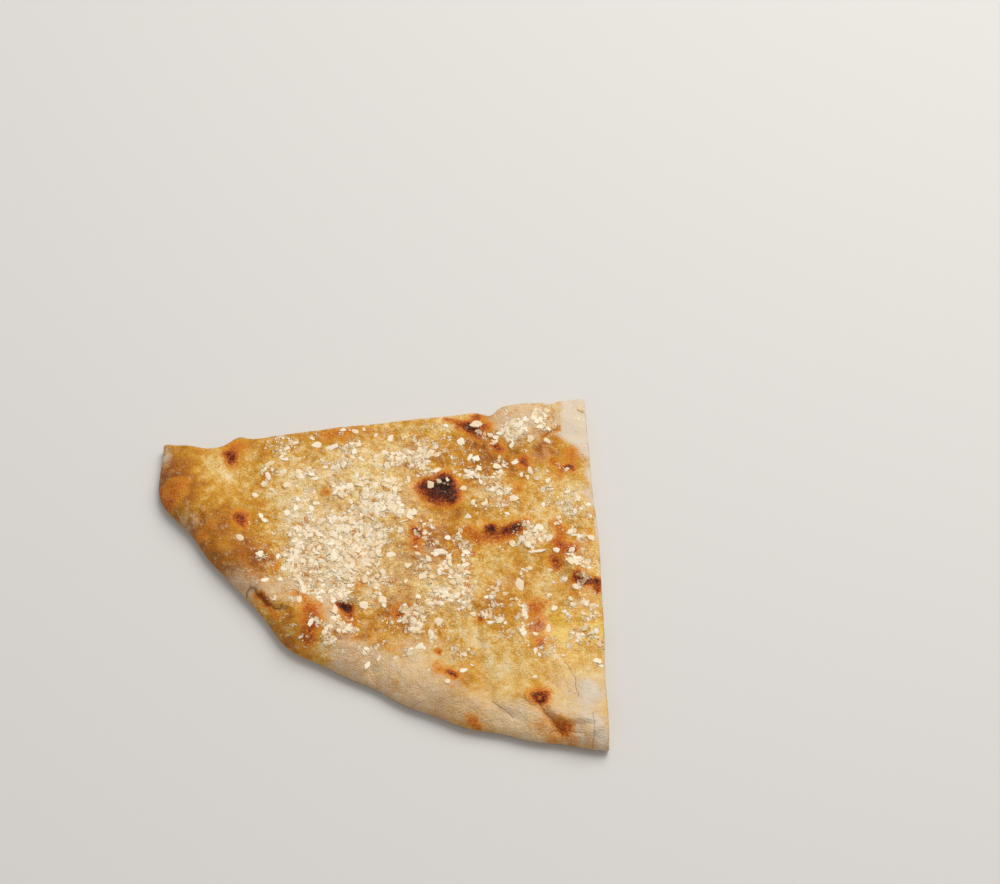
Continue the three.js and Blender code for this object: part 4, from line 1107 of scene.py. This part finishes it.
# %% Start the group that colours the baked skin: browning, melted cheese, flour and oil
baked, given, result = new_group(
    "baked_skin",
    {"Golden": 0.3, "Scorch": 0.0, "Flour": 0.0, "Oil": 0.0, "Melted": 0.0, "Cheese": 0.0},
    {
        "Color": "NodeSocketColor", "Roughness": "NodeSocketFloat",
        "Gloss": "NodeSocketFloat", "Height": "NodeSocketFloat",
    },
)
# Where cheese melted into the skin, it browned more unevenly.
liveliness = plus(baked, times(baked, given["Melted"], 1.3), 0.55)
grit = noise(baked, 0.75, 3.0, 0.75)
uneven = plus(baked, noise(baked, 3.4, 4.0, 0.65), grit)
uneven = times(baked, uneven, liveliness)
brownness = plus(baked, given["Golden"], uneven)
colour = color_ramp(baked, brownness, SKIN_COLOURS).outputs[0]
melted = ragged_mask(baked, given["Melted"], 1.6, 0.35, 0.8)
colour = mix_colours(baked, times(baked, melted, 0.3), colour, MELTED_COLOUR)
floury = ragged_mask(baked, given["Flour"], 0.9, 0.0, 0.7)
colour = mix_colours(baked, times(baked, floury, 0.75), colour, DUSTING_COLOUR)
white = ragged_mask(baked, given["Flour"], 0.5, 0.55, 0.9)
colour = mix_colours(baked, times(baked, white, 0.95), colour, WHITE_COLOUR)
oily = ragged_mask(baked, given["Oil"], 0.5, 0.1, 0.7)
colour = mix_colours(baked, oily, colour, OIL_TINT, "MULTIPLY")
print("skin group so far:", len(baked.nodes), "nodes")

# %% Add scorch, pale grit with painted glints, cracks with painted shade, and fine cheese on top
flicker = plus(baked, noise(baked, 0.9, 5.0, 0.8), times(baked, grit, 0.6))
flicker = plus(baked, times(baked, flicker, 3.0), 1.0)
heat = times(baked, times(baked, given["Scorch"], flicker), 1 / HOTTEST)
scorched = color_ramp(baked, heat, SCORCH_COLOURS)
colour = mix_colours(baked, scorched.outputs[1], colour, scorched.outputs[0])
# Pale specks over everything, scorch too: partly crumbs of cheese, partly painted glints of light on the
# oily grain.
pale_specks_and_glints = map_range(baked, grit, 0.10, 0.24, 0.0, 0.5)
colour = mix_colours(baked, pale_specks_and_glints, colour, SPECK_AND_GLINT_COLOUR)
# The crack lines are drawn dark: the brown of the torn skin, with painted shade in the groove.
crack_and_shade_mask = use_group(baked, cracked)["Mask"]
colour = mix_colours(baked, times(baked, crack_and_shade_mask, 0.8), colour, CRACK_AND_SHADE_COLOUR)
large_flakes = use_group(baked, flaky, {"Amount": given["Cheese"], "Size": 2.3})
more_often = times(baked, given["Cheese"], 0.75)
small_flakes = use_group(baked, flaky, {"Amount": more_often, "Size": 0.9})
covered = math_of(baked, "MAXIMUM", large_flakes["Mask"], small_flakes["Mask"])
flake_tone = plus(baked, large_flakes["Tone"], small_flakes["Tone"])
flake_tone = times(baked, flake_tone, 0.5)
flake_colour = color_ramp(baked, flake_tone, CHEESE_COLOURS).outputs[0]
colour = mix_colours(baked, times(baked, covered, 0.85), colour, flake_colour)
baked.links.new(colour, result["Color"])
print("skin group so far:", len(baked.nodes), "nodes")

# %% Say where the skin shines, and where it is raised
shine = map_range(baked, oily, 0.0, 1.0, 0.5, 0.2, smooth=False)
dry = times(baked, math_of(baked, "MAXIMUM", floury, covered), 0.25)
baked.links.new(plus(baked, shine, dry), result["Roughness"])
wet = plus(baked, times(baked, oily, 0.36), times(baked, melted, 0.12))
baked.links.new(times(baked, wet, minus(baked, 1.0, floury)), result["Gloss"])
layer = times(baked, covered, plus(baked, flake_tone, 0.6))
blistered = map_range(baked, heat, 0.3, 0.9, 0.0, 2.0)
charred = times(baked, noise(baked, 0.9, 3.0, 0.6), blistered)
relief = plus(baked, times(baked, layer, 0.45), charred)
relief = plus(baked, relief, times(baked, melted, 0.05))
relief = minus(baked, relief, times(baked, crack_and_shade_mask, 0.5))
baked.links.new(relief, result["Height"])
print("group:", baked.name)

# %% Make the group that gives the skin its finest grain
skin_grain, given, result = new_group("skin_grain", {"Coarseness": 1.0}, {"Height": "NodeSocketFloat"})
pores = times(skin_grain, noise(skin_grain, 1.3, 3.0, 0.6), 0.8)
specks = times(skin_grain, noise(skin_grain, 0.5, 2.0), 0.7)
both = plus(skin_grain, pores, specks)
skin_grain.links.new(times(skin_grain, both, given["Coarseness"]), result["Height"])
print("group:", skin_grain.name)


# %% Start a material in one line
def new_material(name, settings):
    """A material, its node tree and its shader, with constants set on the shader's own sockets."""
    material = bpy.data.materials.new(name)
    material.use_nodes = True
    shader = material.node_tree.nodes["Principled BSDF"]
    for key, value in settings.items():
        shader.inputs[key].default_value = value
    return material, material.node_tree, shader


def value_on_mesh(tree, name):
    settings = {"attribute_type": "GEOMETRY", "attribute_name": name}
    return add_node(tree, "ShaderNodeAttribute", **settings).outputs["Fac"]


def add_bump(tree, shader, height, depth_mm):
    bump = add_node(tree, "ShaderNodeBump", {"Height": height, "Distance": depth_mm * MM})
    tree.links.new(bump.outputs["Normal"], shader.inputs["Normal"])


print("helpers for materials are ready")

# %% Make the crust
crust, tree, shader = new_material("baked_crust", {"Specular IOR Level": 0.2, "Coat Roughness": 0.16})
skin_marks = ("Golden", "Scorch", "Flour", "Oil", "Melted", "Cheese")
skin = use_group(tree, baked, {name: value_on_mesh(tree, name.lower()) for name in skin_marks})
tree.links.new(skin["Color"], shader.inputs["Base Color"])
tree.links.new(skin["Roughness"], shader.inputs["Roughness"])
tree.links.new(skin["Gloss"], shader.inputs["Coat Weight"])
smooth_where_white = map_range(tree, value_on_mesh(tree, "flour"), 0.6, 1.1, 1.0, 0.5)
grain_height = use_group(tree, skin_grain, {"Coarseness": smooth_where_white})["Height"]
add_bump(tree, shader, plus(tree, grain_height, skin["Height"]), 0.8)
print("material:", crust.name)

# %% Make the crumb of the cut faces, which lets a little light in, with painted shade in its air pockets
CRUMB_LOOK = {
    "Roughness": 0.85, "Subsurface Weight": 0.2, "Subsurface Scale": 0.0016,
    "Subsurface Radius": (1.0, 0.8, 0.5),
}
crumb, tree, shader = new_material("cut_crumb", CRUMB_LOOK)
crumb_colour_with_pocket_shade = color_ramp(
    tree, value_on_mesh(tree, "golden"),
    [(0.0, srgb(236, 218, 182), 1), (0.4, srgb(226, 198, 150), 1), (0.9, srgb(202, 158, 98), 1)],
)
tree.links.new(crumb_colour_with_pocket_shade.outputs[0], shader.inputs["Base Color"])
add_bump(tree, shader, use_group(tree, skin_grain, {"Coarseness": 1.6})["Height"], 0.35)
print("material:", crumb.name)

# %% Make the cheese, with painted warm shade on the sides that lie low, and browned where the crust burnt
cheese, tree, shader = new_material("grated_cheese", {"Roughness": 0.5, "Specular IOR Level": 0.3})
cloudy = times(tree, noise(tree, 6.0, 2.0), 0.9)
tones = color_ramp(tree, plus(tree, value_on_mesh(tree, "tone"), cloudy), CHEESE_COLOURS)
# The low sides of every piece are painted golden: painted warm shade, as light bounced from the crust
# would tint them.
above_painted_shade = map_range(tree, value_on_mesh(tree, "above"), 0.15, 0.65)
with_painted_shade = mix_colours(tree, above_painted_shade, PAINTED_SHADE_LOW_SIDES, tones.outputs[0])
burnt = map_range(tree, value_on_mesh(tree, "scorch"), 0.3, 1.2, 0.0, 0.5)
burnt_and_painted_shade = mix_colours(tree, burnt, with_painted_shade, BURNT_CHEESE)
tree.links.new(burnt_and_painted_shade, shader.inputs["Base Color"])
add_bump(tree, shader, use_group(tree, skin_grain, {"Coarseness": 0.8})["Height"], 0.25)

for material in (crust, crumb):
    bread_mesh.materials.append(material)
print("materials:", [material.name for material in (crust, crumb, cheese)])

# %% [markdown]
# ## The larger pieces of cheese
#
# Hard cheese on a coarse grater breaks into angular chips and short sticks. Each one is a low
# slab with a ragged outline and a bevel, because a broken piece of cheese has blunt edges and
# flat faces. The largest ones are placed one by one, the others by chance.

# %% Name the largest pieces
LARGE_CHEESE = [  # x, y, length, width, turn
    (-39.6, -9.6, 5.4, 4.6, 20), (-34.2, -14.1, 3.2, 2.2, 0), (-47.7, -23.3, 3.6, 1.8, 70),
    (-53, -28.6, 5, 3.8, 50), (-49, -33.2, 4.4, 3.2, 120), (-55.2, -35.2, 4.2, 3.2, 100),
    (-62.3, -48.2, 5.2, 4.2, 110), (-48.8, -56.2, 3.6, 3, 20), (-41.9, -47.7, 4.2, 3.2, 160),
    (-51.6, -62.3, 6.6, 2.6, 170), (-43.5, -68.3, 7, 2.2, 65), (-17.7, -62.7, 9.6, 1.9, 10),
    (-23.7, -75.4, 7.4, 3.6, 100), (-22.7, -87.2, 4, 3.4, 170), (-59.8, -92.7, 5.4, 3.6, 170),
    (-51.9, -90, 5, 4.2, 40), (-83, -79.6, 4.6, 3.8, 30), (-82.7, -94.6, 5, 3.8, 60),
    (-87.4, -86.8, 6.4, 2.8, 95), (-75.9, -106.2, 4.8, 3.4, 80), (-72, -104.5, 3.6, 2.4, 60),
    (-121.6, -57.4, 4.6, 3.8, 130), (-112.9, -31.7, 4.4, 2.4, 110), (-96.2, -32.5, 5.2, 2, 175),
    (-102, -29.6, 3.8, 3.4, 0), (-108.3, -30.4, 3.4, 2.6, 30), (-105.6, -46.1, 4.4, 3, 100),
    (-82.6, -12.8, 3.8, 2.8, 150), (-103.6, -17.5, 4, 2.4, 20), (-91, -19.5, 7, 2.2, 20),
    (-58, -99.6, 4.4, 3.4, 40), (-18.7, -95, 4, 2.6, 130), (-17, -53, 4.6, 3.6, 30),
    (-22.6, -57.8, 3.8, 2.8, 150), (-32.4, -35.8, 4.4, 3.4, 10), (-35.9, -42.6, 4, 3, 80),
    (-30.6, -29.6, 3.8, 2.8, 60), (-25.3, -25.6, 3.4, 2.6, 10), (-20, -28.9, 4.4, 2.6, 110),
    (-41.3, -23.3, 3.8, 2.4, 70), (-9.5, -44, 3.8, 2.8, 60), (-23.8, -11, 4.2, 3, 35),
    (-16, -8.6, 3.6, 2.6, 95), (-6.4, -66.4, 4.6, 3.4, 150), (-0.6, -69, 3.8, 2.8, 20),
    (-34.8, -88, 3.6, 2.4, 40), (-117.2, -39.1, 3.4, 2.4, 160),
]
print(len(LARGE_CHEESE), "named pieces")

# %% Choose the other places, as the plain solid does
CHEESE_SEED = 61
CHEESE_COUNT = 130
CHEESE_APART = 4.6
CHEESE_FROM_RIM = 7
CHEESE_FROM_CUT = 4


def choose_cheese():
    random, pieces = make_random(CHEESE_SEED), list(LARGE_CHEESE)
    while len(pieces) < CHEESE_COUNT:
        x, y = random_place(random)
        chance = draw(random)
        length = draw(random, 2.8, 5.2)
        width = length * draw(random, 0.45, 0.85)
        turn = draw(random, 0, 360)
        _, _, from_rim, from_cut = place_in_slice(x, y)
        inside = from_rim > CHEESE_FROM_RIM and from_cut > CHEESE_FROM_CUT
        free = all(math.hypot(piece[0] - x, piece[1] - y) > CHEESE_APART for piece in pieces)
        if inside and free and chance < cheese_amount(x, y):
            pieces.append((x, y, length, width, turn))
    return pieces


cheese_places = choose_cheese()
print("pieces of larger cheese:", len(cheese_places))


# %% Shape a broken piece of cheese
def make_slab(random, corners):
    """A broken piece: a ragged outline, a bevel round its upper face, and a narrower lower face."""
    outline = []
    for i in range(corners):
        angle = 2 * math.pi * (i + 0.75 * draw(random)) / corners
        outline.append((math.cos(angle), math.sin(angle), 0.5 * draw(random, 0.62, 1.06)))
    levels = [(0.84, -0.45), (1.0, -0.1), (0.98, 0.22), (0.88, 0.42), (0.45, 0.48)]
    points = [(0, 0, -0.5)]
    for inset, height in levels:
        for x, y, reach in outline:
            here = inset * reach * draw(random, 0.95, 1.05)
            points.append((here * x, here * y, height + draw(random, -0.06, 0.06)))
    points.append((0, 0, 0.5))
    last = len(points) - 1
    sides = []
    for i in range(corners):
        after = (i + 1) % corners
        sides.append([0, 1 + after, 1 + i])
        for level in range(len(levels) - 1):
            low, high = 1 + level * corners, 1 + (level + 1) * corners
            sides.append([low + i, low + after, high + after, high + i])
        sides.append([high + i, high + after, last])
    return np.array(points), sides


def share_of_height(corners):
    """0 at the underside of a shape and 1 at its top, for the painted warm shade on its low sides."""
    height = corners[:, 2]
    return (height - height.min()) / (height.max() - height.min())


print("a piece with 7 corners has", len(make_slab(make_random(1), 7)[0]), "points")


# %% Lay every piece on the skin
def skin_normal(x, y, step=1.5):
    slope_x = (skin_height(x + step, y) - skin_height(x - step, y)) / (2 * step)
    slope_y = (skin_height(x, y + step) - skin_height(x, y - step)) / (2 * step)
    return Vector((-slope_x, -slope_y, 1)).normalized()


def place_chunk(corners, size, place, turn, tilt, sunk):
    """Scales a chunk, tilts it, and lays it on the skin."""
    x, y = place
    lie = Vector((0, 0, 1)).rotation_difference(skin_normal(x, y)).to_matrix()
    spin = Euler((tilt[0], tilt[1], turn), "XYZ").to_matrix()
    moved = (corners * np.array(size)) @ np.array(lie @ spin).T
    return moved + np.array([x, y, float(skin_height(x, y)) - sunk])


CHEESE_CORNERS = 5  # of each piece in the plain solid
CHEESE_TILT = math.radians(12)
CHEESE_SUNK = 0.22
SLAB_CORNERS = 7
SLAB_FLATNESS = 0.62
CHEESE_SCORCH = 0.4
random, shape_random = make_random(CHEESE_SEED + 1), make_random(7)
chunk_points, chunk_faces = [], []
chunk_values = {"tone": [], "scorch": [], "above": []}
for x, y, length, width, turn in cheese_places:
    thickness = draw(random, 1.3, 2.1)
    tilt = [CHEESE_TILT * draw(random, -1, 1) for _ in range(2)]
    # The plain solid draws four numbers for each corner here, so they are passed over.
    for _ in range(4 * CHEESE_CORNERS):
        next(random)
    corners, sides = make_slab(shape_random, SLAB_CORNERS)
    size = (length, width, SLAB_FLATNESS * thickness)
    placed = place_chunk(corners, size, (x, y), math.radians(turn), tilt, CHEESE_SUNK * thickness)
    start = len(chunk_points)
    chunk_points.extend(placed.tolist())
    chunk_faces.extend([[start + corner for corner in side] for side in sides])
    chunk_values["tone"].extend([draw(shape_random, 0.3, 1.0)] * len(placed))
    scorch = float(scorch_amount(np.array(x), np.array(y))) * CHEESE_SCORCH
    chunk_values["scorch"].extend([scorch] * len(placed))
    chunk_values["above"].extend(share_of_height(corners))

chunk_mesh = build_mesh(
    "cheese_pieces", np.array(chunk_points), chunk_faces, chunk_values, CORNER_OFFSET,
)
chunk_mesh.materials.append(cheese)
cheese_pieces = add_object("cheese_pieces", chunk_mesh, smooth=False)
print("larger cheese:", len(chunk_mesh.polygons), "faces")

# %% [markdown]
# ## The fine cheese
#
# Thousands of crumbs, flakes and shreds lie where a number on the bread says so. Placing them by
# hand is hopeless, and a particle system keeps no real mesh, so Geometry Nodes does it: points on
# the skin, one of a few shapes at each, tilted, turned and sunk a little, then made real.


# %% Shape a crumb and a flake
def make_crumb(random, detail, cuts, boxiness=0.75):
    """Points between -0.5 and 0.5, and faces, of a ball with flats cut off it."""
    work = bmesh.new()
    bmesh.ops.create_icosphere(work, subdivisions=detail, radius=1.0)
    corners = np.array([vertex.co[:] for vertex in work.verts])
    sides = [[vertex.index for vertex in face.verts] for face in work.faces]
    work.free()
    corners = np.sign(corners) * np.abs(corners) ** boxiness
    for _ in range(cuts):
        turn, height = draw(random, 0, 2 * math.pi), draw(random, -0.8, 0.8)
        flat = math.sqrt(1 - height**2)
        direction = np.array([flat * math.cos(turn), flat * math.sin(turn), height])
        beyond = corners @ direction - draw(random, 0.55, 0.9)
        corners -= np.maximum(beyond, 0)[:, None] * direction
    for corner in corners:
        corner *= 1 + draw(random, -0.04, 0.04)
    return 0.5 * corners, sides


def make_flake(random, corners, thickness):
    """A flat chip with a ragged outline, a little bent, closed below by a blunt point."""
    ring = []
    for i in range(corners):
        angle = 2 * math.pi * (i + 0.7 * draw(random)) / corners
        reach = 0.5 * draw(random, 0.5, 1.0)
        height = thickness * draw(random, -0.5, 0.5)
        ring.append((reach * math.cos(angle), reach * math.sin(angle), height))
    inset = [(0.8 * x, 0.8 * y, z + 0.5 * thickness) for x, y, z in ring]
    middle = [(0, 0, 0.8 * thickness), (0, 0, -0.6 * thickness)]
    top, bottom = 2 * corners, 2 * corners + 1
    sides = []
    for i in range(corners):
        after = (i + 1) % corners
        sides.append([i, after, corners + after, corners + i])
        sides.append([corners + i, corners + after, top])
        sides.append([after, i, bottom])
    return np.array(ring + inset + middle), sides


print("a flake with 6 corners has", len(make_flake(make_random(1), 6, 0.07)[0]), "points")


# %% Make a few shapes of each kind
def add_shapes(kind, count, size, seed, maker, *settings):
    """A collection of small shapes of about the size (length, width, thickness) in mm."""
    collection = bpy.data.collections.new(kind + "_shapes")
    shape_random = make_random(seed)
    for i in range(count):
        corners, sides = maker(shape_random, *settings)
        values = {"above": share_of_height(corners)}
        mesh = build_mesh(f"{kind}_shape_{i}", corners * np.array(size), sides, values)
        collection.objects.link(bpy.data.objects.new(mesh.name, mesh))
    return collection


crumb_shapes = add_shapes("crumb", 8, (1.0, 0.8, 0.5), 11, make_crumb, 1, 4)
flake_shapes = add_shapes("flake", 14, (1.0, 0.72, 1.0), 12, make_flake, 6, 0.07)
shred_shapes = add_shapes("shred", 6, (1.0, 0.24, 0.7), 13, make_flake, 7, 0.09)

# %% Build the tree that scatters them
scatter = bpy.data.node_groups.new("scatter_cheese", "GeometryNodeTree")
SCATTER_INPUTS = {
    "Ground": "NodeSocketObject", "Shapes": "NodeSocketCollection",
    "Per square metre": "NodeSocketFloat", "Where": "NodeSocketString",
    "Smallest": "NodeSocketFloat", "Largest": "NodeSocketFloat",
    "Tilt": "NodeSocketFloat", "Lift": "NodeSocketFloat", "Seed": "NodeSocketInt",
}
for name, kind in SCATTER_INPUTS.items():
    scatter.interface.new_socket(name, in_out="INPUT", socket_type=kind)
scatter.interface.new_socket("Cheese", in_out="OUTPUT", socket_type="NodeSocketGeometry")
given = scatter.nodes.new("NodeGroupInput").outputs
result = scatter.nodes.new("NodeGroupOutput").inputs
print("scatter tree takes", len(SCATTER_INPUTS), "values")

# %% Spread points on the bread, as densely as its number says
ground = add_node(scatter, "GeometryNodeObjectInfo", {"Object": given["Ground"]})
where = add_node(scatter, "GeometryNodeInputNamedAttribute", {"Name": given["Where"]}, data_type="FLOAT")
density = times(scatter, where.outputs["Attribute"], given["Per square metre"])
spread = add_node(
    scatter, "GeometryNodeDistributePointsOnFaces",
    {"Mesh": ground.outputs["Geometry"], "Density": density, "Seed": given["Seed"]},
    distribute_method="RANDOM",
)
print("scatter tree so far:", len(scatter.nodes), "nodes")


# %% Give each point a size, a turn and a tilt
def random_value(data_type, least, most, seed_offset):
    seed = plus(scatter, given["Seed"], float(seed_offset))
    node = add_node(scatter, "FunctionNodeRandomValue", {"Seed": seed}, data_type=data_type)
    first = {"FLOAT_VECTOR": 0, "FLOAT": 2, "INT": 4}[data_type]  # the sockets of each type
    fill_socket(scatter, node.inputs[first], least)
    fill_socket(scatter, node.inputs[first + 1], most)
    return node.outputs[first // 2]


def combine(x, y, z):
    return add_node(scatter, "ShaderNodeCombineXYZ", {0: x, 1: y, 2: z}).outputs[0]


MANY_SMALL_POWER = 2.5
many_small = math_of(scatter, "POWER", random_value("FLOAT", 0.0, 1.0, 1), MANY_SMALL_POWER)
size = add_node(
    scatter, "ShaderNodeMapRange",
    {0: many_small, 3: given["Smallest"], 4: given["Largest"]},
).outputs[0]
tilt_back = times(scatter, given["Tilt"], -1.0)
turned = random_value(
    "FLOAT_VECTOR",
    combine(tilt_back, tilt_back, 0.0),
    combine(given["Tilt"], given["Tilt"], 2 * math.pi),
    2,
)
as_rotation = add_node(scatter, "FunctionNodeEulerToRotation", {0: turned}).outputs[0]
rotation = add_node(
    scatter, "FunctionNodeRotateRotation",
    {"Rotation": spread.outputs["Rotation"], "Rotate By": as_rotation},
    rotation_space="LOCAL",
).outputs[0]
print("scatter tree so far:", len(scatter.nodes), "nodes")

# %% Put a shape at each point, a little lifted, and make it real
lift = times(scatter, times(scatter, size, given["Lift"]), MM)
offset = vector_math(scatter, "SCALE", {0: spread.outputs["Normal"], "Scale": lift})
lifted = add_node(
    scatter, "GeometryNodeSetPosition",
    {"Geometry": spread.outputs["Points"], "Offset": offset},
)
shapes = add_node(
    scatter, "GeometryNodeCollectionInfo",
    {"Collection": given["Shapes"], "Separate Children": True, "Reset Children": True},
)
placed = add_node(
    scatter, "GeometryNodeInstanceOnPoints",
    {
        "Points": lifted.outputs[0], "Instance": shapes.outputs[0], "Pick Instance": True,
        "Instance Index": random_value("INT", 0, 1000, 3), "Rotation": rotation, "Scale": size,
    },
)
toned = add_node(
    scatter, "GeometryNodeStoreNamedAttribute",
    {"Geometry": placed.outputs[0], "Name": "tone", "Value": random_value("FLOAT", 0.0, 1.0, 4)},
    data_type="FLOAT", domain="INSTANCE",
)
real = add_node(scatter, "GeometryNodeRealizeInstances", {0: toned.outputs[0]})
painted = add_node(scatter, "GeometryNodeSetMaterial", {"Geometry": real.outputs[0], "Material": cheese})
scatter.links.new(painted.outputs[0], result["Cheese"])
print("scatter tree:", len(scatter.nodes), "nodes")


# %% Scatter crumbs, flakes and shreds
def scatter_pieces(name, **values):
    """Runs the tree on the bread and keeps what it makes as a plain mesh."""
    maker = bpy.data.objects.new(name + "_maker", bpy.data.meshes.new(name + "_maker"))
    bpy.context.scene.collection.objects.link(maker)
    modifier = maker.modifiers.new("scatter", "NODES")
    modifier.node_group = scatter
    for item in scatter.interface.items_tree:
        key = item.name.lower().replace(" ", "_")
        if item.in_out == "INPUT" and key in values:
            modifier[item.identifier] = values[key]
    bpy.context.view_layer.update()
    graph = bpy.context.evaluated_depsgraph_get()
    mesh = bpy.data.meshes.new_from_object(maker.evaluated_get(graph))
    mesh.name = name
    bpy.data.objects.remove(maker)
    piece = add_object(name, mesh, smooth=False)
    print(name + ":", len(mesh.polygons), "faces")
    return piece


PER_SQUARE_MM = 1e6
crumbs = scatter_pieces(
    "cheese_crumbs", ground=bread, shapes=crumb_shapes, per_square_metre=3.6 * PER_SQUARE_MM,
    where="crumbs", smallest=0.3, largest=1.1, tilt=0.7, lift=0.0, seed=3,
)
flakes = scatter_pieces(
    "cheese_flakes", ground=bread, shapes=flake_shapes, per_square_metre=2.6 * PER_SQUARE_MM,
    where="flakes", smallest=0.7, largest=4.2, tilt=0.11, lift=0.015, seed=5,
)
shreds = scatter_pieces(
    "cheese_shreds", ground=bread, shapes=shred_shapes, per_square_metre=0.05 * PER_SQUARE_MM,
    where="flakes", smallest=2.6, largest=7.0, tilt=0.13, lift=0.03, seed=8,
)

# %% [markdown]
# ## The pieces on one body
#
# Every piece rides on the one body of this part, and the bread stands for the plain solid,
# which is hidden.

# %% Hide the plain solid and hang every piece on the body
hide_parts("focaccia_slice")
for piece, slot in (
    (bread, "crust"), (cheese_pieces, "cheese"), (crumbs, "cheese"),
    (flakes, "cheese"), (shreds, "cheese"),
):
    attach(piece, "root")
